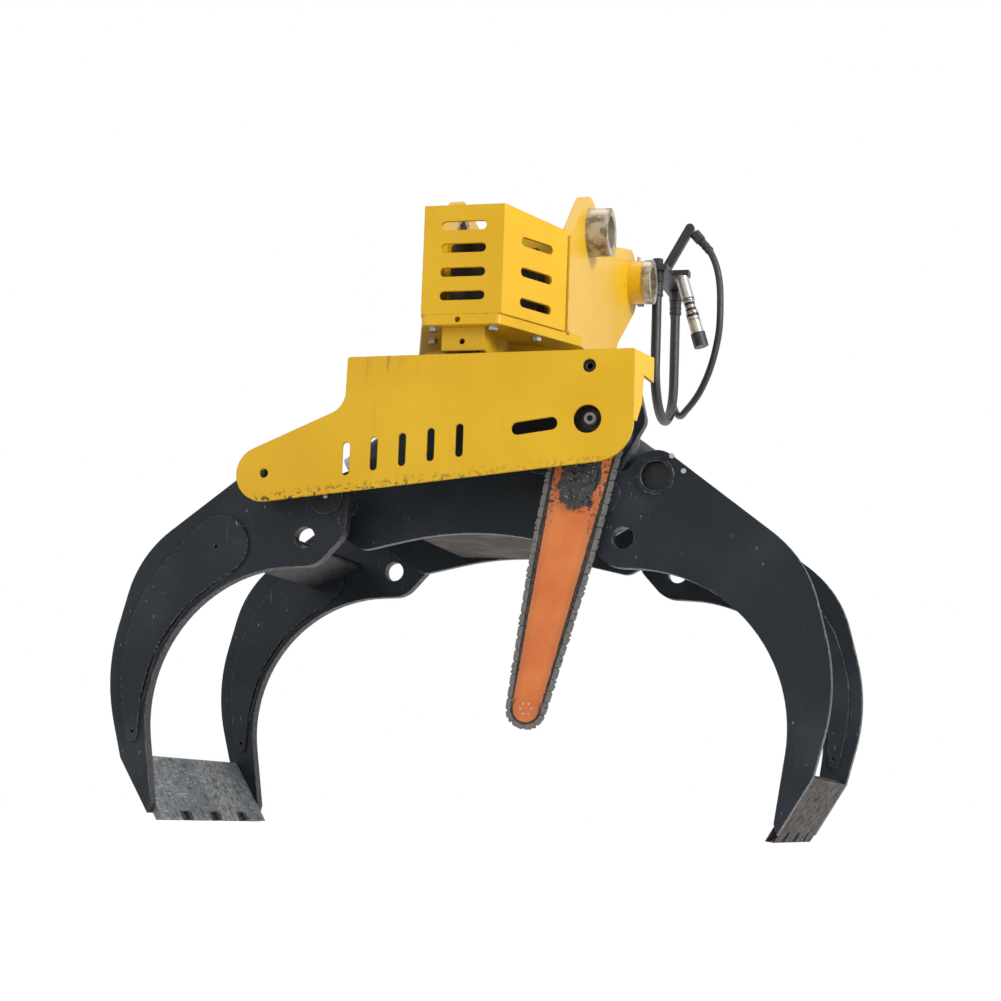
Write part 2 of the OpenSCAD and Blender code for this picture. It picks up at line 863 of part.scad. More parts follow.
module cylinder_left_gland() {
    color(steel) cylinder_gland(-1);
}

module cylinder_left_rod() {
    color(steel) cylinder_rod(-1);
}

module cylinder_right_barrel() {
    color(blue_black) cylinder_barrel(1);
}

module cylinder_right_gland() {
    color(steel) cylinder_gland(1);
}

module cylinder_right_rod() {
    color(steel) cylinder_rod(1);
}

// Saw: the bar's own frame has U along the bar and V across it
saw_x = 229;
saw_z = 123;
bar_angle = 101.7;
mount_t = 22;
mount_y = frame_front_y - mount_t;
bearing_r = 55;
bar_mid_y = -tine_y - 20;
nose_seat_r = 40;
saw_shaft_r = 12;

module at_saw() {
    at_grapple() translate([saw_x, 0, saw_z]) rotate([0, bar_angle, 0]) children();
}

module saw_mount_plate() {
    color(blue_black) at_grapple() difference() {
        plate_xz(mount_y, mount_t) polygon(belt([[112, 56, 8], [246, 50, 10],
            [pivot_x + rod_pin[0], rod_pin[1], -2 * tube_r], [278, 140, 24], [262, 200, 26],
            [126, 204, 20]]));
        bar_y(saw_x, saw_z, nose_seat_r + 5, mount_y - cut, mount_y + mount_t + cut);
    }
}

module saw_bearing() {
    color(blue_black) at_grapple() difference() {
        union() {
            bar_y(saw_x, saw_z, bearing_r, -tine_y + 2, mount_y);
            bar_y(saw_x, saw_z, nose_seat_r, -tine_y - 12, -tine_y + 2);
            bar_y(saw_x, saw_z, nose_seat_r + 5, mount_y, mount_y + mount_t);
        }
        bar_y(saw_x, saw_z, saw_shaft_r + fit, -tine_y - 13, mount_y + mount_t + cut);
    }
}

saw_motor_flange_r = 46;
saw_motor_flange_t = 30;
saw_motor_r = 38;
saw_motor_len = 110;

module saw_motor() {
    color(blue_black) at_grapple() difference() {
        union() {
            bar_y(saw_x, saw_z, saw_motor_flange_r, frame_front_y,
                  frame_front_y + saw_motor_flange_t);
            bar_y(saw_x, saw_z, saw_motor_r, frame_front_y + saw_motor_flange_t,
                  frame_front_y + saw_motor_len);
        }
        bar_y(saw_x, saw_z, saw_shaft_r + fit, frame_front_y - cut,
              frame_front_y + saw_motor_flange_t);
    }
}

// Half of the bar's edge: root, belly and nose
belly_u = 60;
belly_r = 3200;
belly_in = 2;

function bar_rollers(out) = [
    [0, 0, bar_root_r + out],
    [belly_u, belly_r - bar_root_r + belly_in, belly_r + out],
    [bar_reach, 0, bar_nose_r + out],
    [belly_u, -belly_r + bar_root_r - belly_in, belly_r + out]];

function bar_edge(out) = belt(bar_rollers(out), 10);

groove_w = 2.4;
groove_h = 7.5;
tail_u = 50;

module saw_bar() {
    color(orange) at_saw() difference() {
        union() {
            plate_xz(bar_mid_y - groove_w / 2, groove_w) polygon(bar_edge(-groove_h));
            for (s = [-1, 1])
                plate_xz(bar_mid_y + (s > 0 ? groove_w / 2 : -bar_t / 2), (bar_t - groove_w) / 2)
                polygon(bar_edge(0));
        }
        plate_xz(bar_mid_y - bar_t, 2 * bar_t) translate([-2 * tail_u, -2 * tail_u])
            square([3 * tail_u, 4 * tail_u]);
        plate_xz(bar_mid_y - groove_w / 2 - fit, groove_w + 2 * fit)
            translate([bar_reach, 0]) circle(r = bar_nose_r - 4);
    }
}

clamp_t = 4.5;
clamp_y = bar_mid_y + 7.5;
clamp_start = 70;
clamp_end = 150;
clamp_half = 28;
clamp_bolts = [62, 92, 122];

module clamp_strip(y0, t) {
    plate_xz(y0, t) polygon(belt([[clamp_start, 0, clamp_half], [clamp_end - clamp_half, 0, clamp_half]]));
}

module bar_clamp() {
    color(blue_black) at_saw() difference() {
        union() {
            plate_xz(clamp_y, clamp_t)
                polygon(belt([[0, 0, nose_seat_r + 12], [clamp_end - clamp_half, 0, clamp_half]]));
            clamp_strip(bar_mid_y + bar_t / 2, clamp_y - bar_mid_y - bar_t / 2);
            clamp_strip(bar_mid_y - bar_t / 2 - bar_t, bar_t);
            for (u = clamp_bolts) for (v = [-1, 1])
                translate([u + 8, bar_mid_y - bar_t / 2 - bar_t, v * clamp_half / 2])
                rotate([90, 0, 0]) hex_head(bolt_head_r - 1, bolt_head_h);
        }
        bar_y(0, 0, nose_seat_r + fit, clamp_y - cut, clamp_y + clamp_t + cut);
    }
}

// Saw chain: drive links in the bar's groove, straps on both sides, every second one a cutter
link_t = 2;
rivet_h = 4.5;
strap_h = 9.5;
tang_h = 6;
cutter_h = 10.5;
cutter_out = 2.5;
chain_path = bar_edge(rivet_h);
path_n = len(chain_path);
path_at = [for (i = 0, s = 0; i <= path_n;
    s = s + norm(chain_path[(i + 1) % path_n] - chain_path[i % path_n]), i = i + 1) s];
path_len = path_at[path_n];
links = 2 * round(path_len / chain_pitch / 2);
link_step = path_len / links;

function on_path(s) =
    let (w = (s + path_len) % path_len, i = len([for (c = path_at) if (c <= w) c]) - 1,
         p = chain_path[i % path_n], q = chain_path[(i + 1) % path_n])
    p + (q - p) * (w - path_at[i]) / max(norm(q - p), 0.001);

// Puts a link between two rivets, with y pointing away from the bar
module on_rivets(s) {
    p = on_path(s - link_step / 4);
    q = on_path(s + link_step / 4);
    translate((p + q) / 2) rotate(atan2(q[1] - p[1], q[0] - p[0])) mirror([0, 1]) children();
}

half_link = chain_pitch * 0.47;
strap_points = [[-half_link, 1.2 - rivet_h], [half_link, 1.2 - rivet_h], [half_link, strap_h - rivet_h - 2],
                [half_link - 3, strap_h - rivet_h], [3 - half_link, strap_h - rivet_h],
                [-half_link, strap_h - rivet_h - 2]];
drive_points = [[-3, -rivet_h - tang_h], [3, -rivet_h - tang_h + 2], [half_link, -rivet_h + 1.2],
                [half_link - 1, 3.2], [1 - half_link, 3.2], [-half_link, -rivet_h + 1.2]];
cutter_points = [[-half_link, 1.2 - rivet_h], [half_link, 1.2 - rivet_h], [half_link, cutter_h - rivet_h - 1],
                 [half_link - 4, cutter_h - rivet_h - 1], [2, strap_h - rivet_h - 4],
                 [1, cutter_h - rivet_h], [1 - half_link, cutter_h - rivet_h - 2]];

module saw_chain() {
    color(worn) at_saw() {
        plate_xz(bar_mid_y - link_t / 2, link_t)
            for (k = [0 : links - 1]) on_rivets((k + 0.5) * link_step) polygon(drive_points);
        for (side = [-1, 1]) plate_xz(bar_mid_y + (side > 0 ? link_t / 2 : -1.5 * link_t), link_t)
            for (k = [0 : links - 1]) if (k % 4 != 1 - side) on_rivets(k * link_step) polygon(strap_points);
        for (side = [-1, 1])
            plate_xz(bar_mid_y + (side > 0 ? link_t / 2 : -1.5 * link_t - cutter_out), link_t + cutter_out)
            for (k = [0 : links - 1]) if (k % 4 == 1 - side) on_rivets(k * link_step) polygon(cutter_points);
    }
}

module star2d(teeth, root, tip) {
    polygon([for (i = [0 : teeth - 1]) for (k = [0 : 3])
        let (r = k < 2 ? root : tip, a = (i + [-0.35, -0.15, 0, 0.3][k]) * 360 / teeth)
        [r * cos(a), r * sin(a)]]);
}

nose_teeth = 9;
drive_teeth = 17;

module nose_sprocket() {
    color(steel) at_saw() plate_xz(bar_mid_y - link_t / 2, link_t) translate([bar_reach, 0]) difference() {
        star2d(nose_teeth, bar_nose_r - groove_h - 4, bar_nose_r - groove_h);
        circle(r = 6);
    }
}

nut_out = 20;
saw_nut_r = 18;
saw_nose_r = 10;
saw_nose_len = 8.5;

module drive_sprocket() {
    color(steel) at_grapple() translate([saw_x, 0, saw_z]) {
        plate_xz(bar_mid_y - bar_t / 2, bar_t)
            star2d(drive_teeth, bar_root_r - tang_h - 8, bar_root_r - tang_h - 1);
        bar_y(0, 0, saw_shaft_r, bar_mid_y - nut_out, frame_front_y + saw_motor_flange_t - 2);
        bar_y(0, 0, saw_nut_r, bar_mid_y - 0.7 * nut_out, bar_mid_y - bar_t / 2);
        difference() {
            bar_y(0, 0, saw_nose_r, bar_mid_y - nut_out - saw_nose_len, bar_mid_y - nut_out);
            bar_y(0, 0, saw_nose_r / 2, bar_mid_y - nut_out - 2 * saw_nose_len,
                  bar_mid_y - nut_out - gap);
        }
    }
}

// Guard
guard_y = -tine_y - 60;
slot_w = 14;
slot_len = 57;
slot_places = [[-191, 56], [-142, 64], [-92, 71], [-42, 79], [8, 86]];
top_post = [228, 210];
side_post = [-60, 180];
post_r = 12;
flange_x = 299;
flange_lean = 13.3;
flange_points = [[0, 237], [76, 237], [76, 195], [36, 200], [30, 150], [12, 118], [0, 118]];

module saw_guard() {
    color(yellow) at_grapple() {
        difference() {
            plate_xz(guard_y, guard_t) polygon(belt([[-340, 31, 48], [238, 115, 67],
                [flange_x + guard_t - 4, 234, 4], [-191, 228, 4], [-236, 172, -40]]));
            plate_xz(guard_y - cut, guard_t + 2 * cut) {
                translate([-338, 32]) circle(r = 8);
                for (p = slot_places) translate(p) rotate(90) slot2d(slot_len, slot_w);
                translate([137, 109]) rotate(8) slot2d(80, 22);
                translate([227, 120]) circle(r = 24);
                translate(top_post) circle(r = 11.5);
            }
        }
        translate([flange_x, guard_y + guard_t, 0]) rotate([0, 0, -flange_lean])
            plate_yz(0, guard_t) polygon(flange_points);
    }
}

module guard_spacers() {
    color(blue_black) at_grapple() {
        difference() {
            bar_y(top_post[0], top_post[1], post_r + 4, guard_y + guard_t, mount_y);
            bar_y(top_post[0], top_post[1], bolt_r, guard_y, mount_y + cut);
        }
        bar_y(side_post[0], side_post[1], post_r, guard_y + guard_t, frame_front_y);
    }
}

// Hoses on a bracket behind the right ear, from the middle of the arm pin
ear_face_x = ear_gap / 2 + ear_t;
bracket_z = 38;
bracket_t = 12;
bracket_top = bracket_z + bracket_t;
foot_plate = [46, 36, -30];
rail = [25, 50, 38, 236];
arm_y = [50, 32];
outrigger = [103, 24, 98];
upright_foot = 45;
upright_r = 9;
upright_reach = 13.9;
upright_t = 12;
hose_top = 16;
thick_r = 10;
thin_r = 7;
thick_front = [41, 66];
thick_rear = [48.5, 234];
thick_low = -168;
thick_bend = (thick_rear[1] - thick_front[1]) / 2;
hose_step = 20;
turn_step = 12;
thick_route = concat(
    [for (z = [hose_top : -hose_step : thick_low + thick_r])
        [ear_face_x + thick_front[0], thick_front[1], z]],
    [for (w = [0 : turn_step : 180])
        [ear_face_x + thick_front[0] + (thick_rear[0] - thick_front[0]) * w / 180,
         thick_front[1] + thick_bend * (1 - cos(w)), thick_low - thick_bend * sin(w)]],
    [for (z = [thick_low + hose_step : hose_step : hose_top])
        [ear_face_x + thick_rear[0], thick_rear[1], z]],
    [[ear_face_x + thick_rear[0], thick_rear[1], hose_top]]);
thin_places = [
    [40, 270, 16], [40, 270, -20], [40, 270, -60], [40, 270, -100], [40, 270, -140],
    [41, 267, -170], [44, 257, -197], [53, 241, -218], [64, 220, -230], [74, 198, -233],
    [85, 177, -228], [100, 160, -217], [115, 147, -201], [128, 137, -181], [139, 130, -158],
    [148, 124, -133], [155, 120, -106], [160, 117, -78], [162, 115, -50], [162, 115, -20],
    [161, 115, 10], [157, 115, 40], [149, 115, 68], [137, 115, 92], [120, 115, 112]];
thin_route = [for (p = thin_places) [ear_face_x + p[0], p[1], p[2]]];

function route_side(route, i) =
    let (n = len(route), d = route[min(i + 1, n - 1)] - route[max(i - 1, 0)],
         s = cross(d, [1, 0, 0]))
    s / norm(s);

function route_other(route, i) =
    let (n = len(route), d = route[min(i + 1, n - 1)] - route[max(i - 1, 0)],
         t = cross(route_side(route, i), d))
    t / norm(t);

module hose(route, r, sides = 10) {
    n = len(route);
    points = [for (i = [0 : n - 1]) for (k = [0 : sides - 1])
        let (w = 360 * k / sides)
        route[i] + r * (cos(w) * route_side(route, i) + sin(w) * route_other(route, i))];
    faces = concat(
        [[for (k = [0 : sides - 1]) k]],
        [[for (k = [sides - 1 : -1 : 0]) (n - 1) * sides + k]],
        [for (i = [0 : n - 2]) for (k = [0 : sides - 1]) for (h = [0, 1])
            let (a = i * sides + k, b = i * sides + (k + 1) % sides)
            h == 0 ? [a, a + sides, b] : [b, a + sides, b + sides]]);
    polyhedron(points = points, faces = faces);
}

module hose_thick() {
    color(rubber) hose(thick_route, thick_r);
}

module hose_thin() {
    color(rubber) hose(thin_route, thin_r);
}

fitting_r = 14;
thin_fitting_r = 11;
nut_h = 14;
thick_ends = [thick_front, thick_rear];
thin_start = [thin_places[0][0], thin_places[0][1]];
thin_last = thin_places[len(thin_places) - 1];
thin_run = thin_last - thin_places[len(thin_places) - 2];
fitting_len = bracket_z - hose_top;
upright_head = thin_last + (fitting_len + upright_reach) * thin_run / norm(thin_run);

module hose_bracket() {
    color(blue_black) translate([ear_face_x, 0, 0]) {
        translate([0, foot_plate[0], foot_plate[2]])
            cube([bracket_t, foot_plate[1], bracket_top - foot_plate[2]]);
        translate([0, arm_y[0], bracket_z]) cube([rail[0] + rail[2], arm_y[1], bracket_t]);
        translate([rail[0], rail[1], bracket_z]) cube([rail[2], rail[3], bracket_t]);
        translate([rail[0], outrigger[0], bracket_z])
            cube([outrigger[2] - rail[0], outrigger[1], bracket_t]);
        plate_xz(thin_last[1] - upright_t / 2, upright_t)
            polygon(belt([[upright_foot, bracket_z + upright_r, upright_r],
                          [upright_head[0], upright_head[2], upright_r]], 15));
    }
}

module hose_fittings() {
    color(steel) translate([ear_face_x, 0, 0]) {
        for (p = thick_ends) translate([p[0], p[1], hose_top])
            cylinder(r = fitting_r, h = fitting_len, $fn = 6);
        translate([thin_start[0], thin_start[1], hose_top])
            cylinder(r = thin_fitting_r, h = fitting_len, $fn = 6);
        translate(thin_last) rotate([0, atan2(thin_run[0], thin_run[2]), 0])
            cylinder(r = thin_fitting_r, h = fitting_len, $fn = 6);
        for (p = concat(thick_ends, [thin_start])) translate([p[0], p[1], bracket_top])
            cylinder(r = thin_fitting_r, h = nut_h, $fn = 6);
    }
}

// Quick coupler that hangs from the bracket, with its dust cap
coupler_at = [85, 110];
coupler_stub = 8;
coupler_tilt = 163.4;
coupler_len = 116;
coupler_r = 13;
coupler_waist_r = 11;
coupler_cap_len = 29;
coupler_cap_r = 15;

module at_coupler() {
    translate([ear_face_x + coupler_at[0], coupler_at[1], bracket_z - coupler_stub])
        rotate([0, coupler_tilt, 0]) children();
}

module quick_coupler() {
    color(steel) {
        translate([ear_face_x + coupler_at[0], coupler_at[1], bracket_z - coupler_stub])
            cylinder(r = coupler_waist_r, h = coupler_stub);
        at_coupler() {
            cylinder(r = coupler_r, h = coupler_len * 0.4);
            cylinder(r = coupler_waist_r, h = coupler_len);
            translate([0, 0, coupler_len * 0.6]) cylinder(r = coupler_r, h = coupler_len * 0.4);
        }
    }
}

module coupler_cap() {
    color(rubber) at_coupler() translate([0, 0, coupler_len])
        cylinder(r = coupler_cap_r, h = coupler_cap_len);
}
head_base_plate();
head_ear_left();
head_ear_right();
head_front_bulkhead();
head_rear_cross_plate();
head_cover();
cover_bolts();
link_bushes();
arm_bushes();
slew_motor();
slew_ring_inner();
slew_ring_bolts();
pinion_guard();
swivel_housing();
hose_bracket();
hose_fittings();
quick_coupler();
coupler_cap();
hose_thick();
hose_thin();
slew_pinion();
slew_ring_outer();
frame_top_plate();
frame_front_plate();
frame_rear_plate();
frame_bottom_plate();
frame_side_webs();
pivot_pins_left();
pivot_pins_right();
anchor_pins();
saw_mount_plate();
saw_guard();
guard_spacers();
saw_bearing();
saw_motor();
swivel_core();
saw_bar();
bar_clamp();
saw_chain();
nose_sprocket();
drive_sprocket();
tine_left_front_plate();
tine_left_rear_plate();
tine_left_doublers();
tine_left_tip_plate();
tine_left_crossmember();
tine_left_cylinder_pin();
tine_right_front_plate();
tine_right_rear_plate();
tine_right_doublers();
tine_right_tip_plate();
tine_right_crossmember();
tine_right_cylinder_pin();
cylinder_left_barrel();
cylinder_left_gland();
cylinder_left_rod();
cylinder_right_barrel();
cylinder_right_gland();
cylinder_right_rod();
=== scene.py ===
# Log grapple with a swinging chain saw and a slewing head, dressed for a studio picture.
import math

import bpy
from mathutils import Matrix, Vector


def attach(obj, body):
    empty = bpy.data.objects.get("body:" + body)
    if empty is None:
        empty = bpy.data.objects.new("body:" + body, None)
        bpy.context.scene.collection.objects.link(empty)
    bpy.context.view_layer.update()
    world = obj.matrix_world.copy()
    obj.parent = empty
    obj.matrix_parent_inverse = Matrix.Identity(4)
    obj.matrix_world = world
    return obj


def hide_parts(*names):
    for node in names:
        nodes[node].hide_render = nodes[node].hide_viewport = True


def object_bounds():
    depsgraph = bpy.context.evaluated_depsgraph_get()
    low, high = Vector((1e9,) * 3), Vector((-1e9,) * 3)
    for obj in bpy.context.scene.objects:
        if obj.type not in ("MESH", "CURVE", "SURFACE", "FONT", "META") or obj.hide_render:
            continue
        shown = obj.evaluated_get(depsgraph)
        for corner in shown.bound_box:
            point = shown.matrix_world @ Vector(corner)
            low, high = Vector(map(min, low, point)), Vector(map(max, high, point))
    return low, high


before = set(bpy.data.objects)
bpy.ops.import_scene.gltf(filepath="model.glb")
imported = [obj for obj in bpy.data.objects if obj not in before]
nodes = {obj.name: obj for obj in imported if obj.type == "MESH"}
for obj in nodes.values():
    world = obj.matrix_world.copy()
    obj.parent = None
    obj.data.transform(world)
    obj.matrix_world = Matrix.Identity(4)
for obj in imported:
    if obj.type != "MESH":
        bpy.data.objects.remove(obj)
cad_box = [list(corner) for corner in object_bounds()]

# Camera: it stands low in front of the grapple and to its right, and looks up a little,
# rolled by two degrees, with a long lens.
CAMERA_AT = Vector((0.9949, -4.2043, -1.0566))
CAMERA_YAW = -0.2599
CAMERA_PITCH = 0.1412
CAMERA_ROLL = 0.0350
CAMERA_LENS = 79.19


def added(name, data):
    """A new object in the scene."""
    item = bpy.data.objects.new(name, data)
    bpy.context.scene.collection.objects.link(item)
    return item


camera_data = bpy.data.cameras.new("camera")
camera_data.lens = CAMERA_LENS
camera_data.sensor_width = 36
camera_data.clip_end = 100
camera = added("camera", camera_data)
forward = Vector((math.sin(CAMERA_YAW) * math.cos(CAMERA_PITCH),
                  math.cos(CAMERA_YAW) * math.cos(CAMERA_PITCH), math.sin(CAMERA_PITCH)))
level = Vector((math.cos(CAMERA_YAW), -math.sin(CAMERA_YAW), 0))
raised = level.cross(forward)
across = level * math.cos(CAMERA_ROLL) + raised * math.sin(CAMERA_ROLL)
upward = raised * math.cos(CAMERA_ROLL) - level * math.sin(CAMERA_ROLL)
turned = Matrix((across, upward, -forward)).transposed().to_4x4()
camera.matrix_world = Matrix.Translation(CAMERA_AT) @ turned
bpy.context.scene.camera = camera
bpy.context.scene.view_settings.view_transform = "Standard"


# Studio: a pale floor under the hanging grapple, a white backdrop that only the camera and
# the gloss see, a large soft lamp at the right, and weaker ones at the front left and above.
class Value:
    """A shader socket that takes part in sums."""

    def __init__(self, finish, socket):
        self.finish = finish
        self.socket = socket

    def math(self, operation, *others):
        return self.finish.node("ShaderNodeMath", {"operation": operation}, self, *others)

    def __add__(self, other):
        return self.math("ADD", other)

    def __sub__(self, other):
        return self.math("SUBTRACT", other)

    def __rsub__(self, other):
        return self.finish.node("ShaderNodeMath", {"operation": "SUBTRACT"}, other, self)

    def __mul__(self, other):
        return self.math("MULTIPLY", other)

    __radd__ = __add__
    __rmul__ = __mul__

    def over(self, low, high):
        """0 below low and 1 above high, with a smooth step between them."""
        return self.finish.node("ShaderNodeMapRange", {"interpolation_type": "SMOOTHSTEP"},
                                self, low, high)

    def most(self, other):
        return self.math("MAXIMUM", other)

    def size(self):
        return self.math("ABSOLUTE")


class Finish:
    """A material whose nodes are added by their type, settings and sockets."""

    def __init__(self, name):
        self.material = bpy.data.materials.new(name)
        self.material.use_nodes = True
        self.tree = self.material.node_tree
        self.shader = self.tree.nodes["Principled BSDF"]

    def node(self, kind, settings, *values, out=0):
        node = self.tree.nodes.new(kind)
        for key, setting in settings.items():
            setattr(node, key, setting)
        for socket, value in zip([s for s in node.inputs if s.enabled], values):
            self.put(socket, value)
        return Value(self, [s for s in node.outputs if s.enabled][out])

    def put(self, socket, value):
        if isinstance(value, Value):
            self.tree.links.new(value.socket, socket)
        elif value is not None:
            socket.default_value = value

    def place(self, stretch=(1, 1, 1), turn=(0, 0, 0)):
        """Object coordinates, stretched and turned."""
        here = self.node("ShaderNodeTexCoord", {}, out=3)
        return self.node("ShaderNodeMapping", {}, here, (0, 0, 0), turn, stretch)

    def where(self, axis):
        """The place along one axis, in metres."""
        here = self.node("ShaderNodeTexCoord", {}, out=3)
        return self.node("ShaderNodeSeparateXYZ", {}, here, out=axis)

    def noise(self, size, detail=4, rough=0.55, stretch=(1, 1, 1), turn=(0, 0, 0)):
        """Noise whose patches are about as large as the size, in metres."""
        here = self.place(stretch, turn)
        return self.node("ShaderNodeTexNoise", {}, here, 1 / size, detail, rough)

    def edges(self, width):
        """More than 0 along the edges of the shape, over about the given width."""
        soft = self.node("ShaderNodeBevel", {"samples": 4}, width)
        true = self.node("ShaderNodeNewGeometry", {}, out=3)
        return 1 - self.node("ShaderNodeVectorMath", {"operation": "DOT_PRODUCT"}, soft, true)

    def facing(self, axis):
        """How far the surface faces along one axis."""
        normal = self.node("ShaderNodeNewGeometry", {}, out=3)
        return self.node("ShaderNodeSeparateXYZ", {}, normal, out=axis)

    def mix(self, mask, first, second):
        """The first colour where the mask is 0, the second where it is 1."""
        return self.node("ShaderNodeMix", {"data_type": "RGBA"}, mask, first, second)

    def set(self, **sockets):
        for name, value in sockets.items():
            label = name.replace("_", " ").title().replace("Ior", "IOR")
            self.put(self.shader.inputs[label], value)

    def bump(self, height, depth, round_edges=None):
        bump = self.tree.nodes.new("ShaderNodeBump")
        bump.inputs["Distance"].default_value = depth
        self.put(bump.inputs["Height"], height)
        if round_edges:
            soft = self.node("ShaderNodeBevel", {"samples": 4}, round_edges)
            self.put(bump.inputs["Normal"], soft)
        self.put(self.shader.inputs["Normal"], Value(self, bump.outputs[0]))


FLOOR_DROP = 0.06
FLOOR_HALF = 14.0
FLOOR_GLOW = 0.62
floor_finish = Finish("floor_white")
eye = floor_finish.node("ShaderNodeLightPath", {}, out=0)
gloss = floor_finish.node("ShaderNodeLightPath", {}, out=3)
through = floor_finish.node("ShaderNodeLightPath", {}, out=6)
seen = eye.most(gloss).most(through)
floor_finish.set(base_color=(0.8, 0.8, 0.8, 1), roughness=0.8, specular_ior_level=0.0,
                 emission_color=floor_finish.mix(seen, (0, 0, 0, 1), (1, 1, 1, 1)),
                 emission_strength=FLOOR_GLOW)
floor_mesh = bpy.data.meshes.new("floor")
floor_z = cad_box[0][2] - FLOOR_DROP
floor_mesh.from_pydata([(x, y, floor_z) for x, y in
                        ((-FLOOR_HALF, -FLOOR_HALF), (FLOOR_HALF, -FLOOR_HALF),
                         (FLOOR_HALF, FLOOR_HALF), (-FLOOR_HALF, FLOOR_HALF))], [], [(0, 1, 2, 3)])
floor_mesh.materials.append(floor_finish.material)
floor = added("floor", floor_mesh)

world = bpy.data.worlds.new("world")
bpy.context.scene.world = world
world.use_nodes = True
WORLD_STRENGTH = 0.55
sky = world.node_tree.nodes["Background"]
path = world.node_tree.nodes.new("ShaderNodeLightPath")
any_view = path.outputs["Is Camera Ray"]
for other in ("Is Glossy Ray", "Is Transmission Ray"):
    either = world.node_tree.nodes.new("ShaderNodeMath")
    either.operation = "MAXIMUM"
    world.node_tree.links.new(any_view, either.inputs[0])
    world.node_tree.links.new(path.outputs[other], either.inputs[1])
    any_view = either.outputs[0]
bright = world.node_tree.nodes.new("ShaderNodeMapRange")
bright.inputs["To Min"].default_value = WORLD_STRENGTH
bright.inputs["To Max"].default_value = 1
world.node_tree.links.new(any_view, bright.inputs["Value"])
world.node_tree.links.new(bright.outputs["Result"], sky.inputs["Strength"])
sky.inputs["Color"].default_value = (1, 1, 1, 1)


def lamp(name, at, aim, size, power):
    """A round lamp that is aimed at a point."""
    light = bpy.data.lights.new(name, "AREA")
    light.shape = "DISK"
    light.size = size
    light.energy = power
    lamp_object = added(name, light)
    lamp_object.location = at
    lamp_object.rotation_euler = (Vector(aim) - Vector(at)).to_track_quat("-Z", "Y").to_euler()


MIDDLE = (0, -0.37, -0.5)
lamp("lamp_right", (4.2, -2.2, 1.6), MIDDLE, 2.0, 210)
lamp("lamp_left", (-3.2, -3.6, 1.2), MIDDLE, 2.5, 40)
lamp("lamp_top", (0.4, 0.6, 3.6), MIDDLE, 2.5, 45)

# Thick hose: rubber hose of 20 mm with a wrapped cover. It hangs from two fittings under the
# bracket at the right ear, and turns back up in one wide bend.
MM = 0.001
EAR_FACE = 130
HOSE_TOP = 16
THICK_FRONT = (41, 66)
THICK_REAR = (48.5, 234)
THICK_LOW = -168
THICK_D = 0.020
THICK_BEND = (THICK_REAR[1] - THICK_FRONT[1]) / 2
rubber = Finish("hose_rubber")
wrap = rubber.noise(0.0016, 2, 0.5, (1, 1, 0.35))
rubber_dust = rubber.noise(0.05, 5).over(0.5, 0.75)
RUBBER_BLACK, DUSTY_RUBBER = (0.012, 0.013, 0.015, 1), (0.05, 0.052, 0.055, 1)
rubber.set(base_color=rubber.mix(rubber_dust * 0.6, RUBBER_BLACK, DUSTY_RUBBER),
           roughness=rubber_dust * 0.25 + 0.42)
rubber.bump(wrap, 0.0006)


def smooth_route(points, steps=6):
    """Catmull-Rom curve through the points."""
    ends = [points[0] * 2 - points[1], *points, points[-1] * 2 - points[-2]]
    line = []
    for a, b, c, d in zip(ends, ends[1:], ends[2:], ends[3:]):
        for k in range(steps):
            t = k / steps
            line.append(0.5 * (2 * b + (c - a) * t + (2 * a - 5 * b + 4 * c - d) * t * t
                               + (3 * b - a - 3 * c + d) * t ** 3))
    return [*line, points[-1]]


def tube(name, route, radius, roundness, finish):
    """A smooth tube on the route, which is given in millimetres, and the points on its middle."""
    curve = bpy.data.curves.new(name, "CURVE")
    curve.dimensions = "3D"
    curve.bevel_depth = radius
    curve.bevel_resolution = roundness
    spline = curve.splines.new("POLY")
    points = smooth_route([Vector(p) * MM for p in route])
    spline.points.add(len(points) - 1)
    for point, at in zip(spline.points, points):
        point.co = (*at, 1)
    curve.materials.append(finish.material)
    return added(name, curve), points


def hose(name, route, diameter, node):
    """A hanging rubber hose that stands for a node."""
    piece, points = tube(name, route, diameter / 2, 5, rubber)
    piece.data.use_fill_caps = True
    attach(piece, "head")
    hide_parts(node)
    length = sum((b - a).length for a, b in zip(points, points[1:]))


FRONT_X, REAR_X = EAR_FACE + THICK_FRONT[0], EAR_FACE + THICK_REAR[0]
STEP_DOWN, STEP_ROUND = 20, 12
thick_route = [(FRONT_X, THICK_FRONT[1], z)
               for z in range(HOSE_TOP, THICK_LOW + STEP_DOWN // 2, -STEP_DOWN)]
for angle in range(0, 181, STEP_ROUND):
    thick_route.append((FRONT_X + (REAR_X - FRONT_X) * angle / 180,
                        THICK_FRONT[1] + THICK_BEND * (1 - math.cos(math.radians(angle))),
                        THICK_LOW - THICK_BEND * math.sin(math.radians(angle))))
thick_route += [(REAR_X, THICK_REAR[1], z)
                for z in range(THICK_LOW + STEP_DOWN, HOSE_TOP, STEP_DOWN)]
thick_route.append((REAR_X, THICK_REAR[1], HOSE_TOP))
hose("hose_thick_tube", thick_route, THICK_D, "hose_thick")

# Thin hose: 14 mm drain hose from the rear of the bracket, which hangs in a wide loop behind
# the thick one and rises to the last fitting of the bracket's arm.
THIN_D = 0.014
THIN_ROUTE = [(40, 270, 16), (40, 270, -20), (40, 270, -60), (40, 270, -100), (40, 270, -140),
              (41, 267, -170), (44, 257, -197), (53, 241, -218), (64, 220, -230), (74, 198, -233),
              (85, 177, -228), (100, 160, -217), (115, 147, -201), (128, 137, -181),
              (139, 130, -158), (148, 124, -133), (155, 120, -106), (160, 117, -78),
              (162, 115, -50), (162, 115, -20), (161, 115, 10), (157, 115, 40), (149, 115, 68),
              (137, 115, 92), (120, 115, 112)]
hose("hose_thin_tube", [(EAR_FACE + x, y, z) for x, y, z in THIN_ROUTE], THIN_D, "hose_thin")

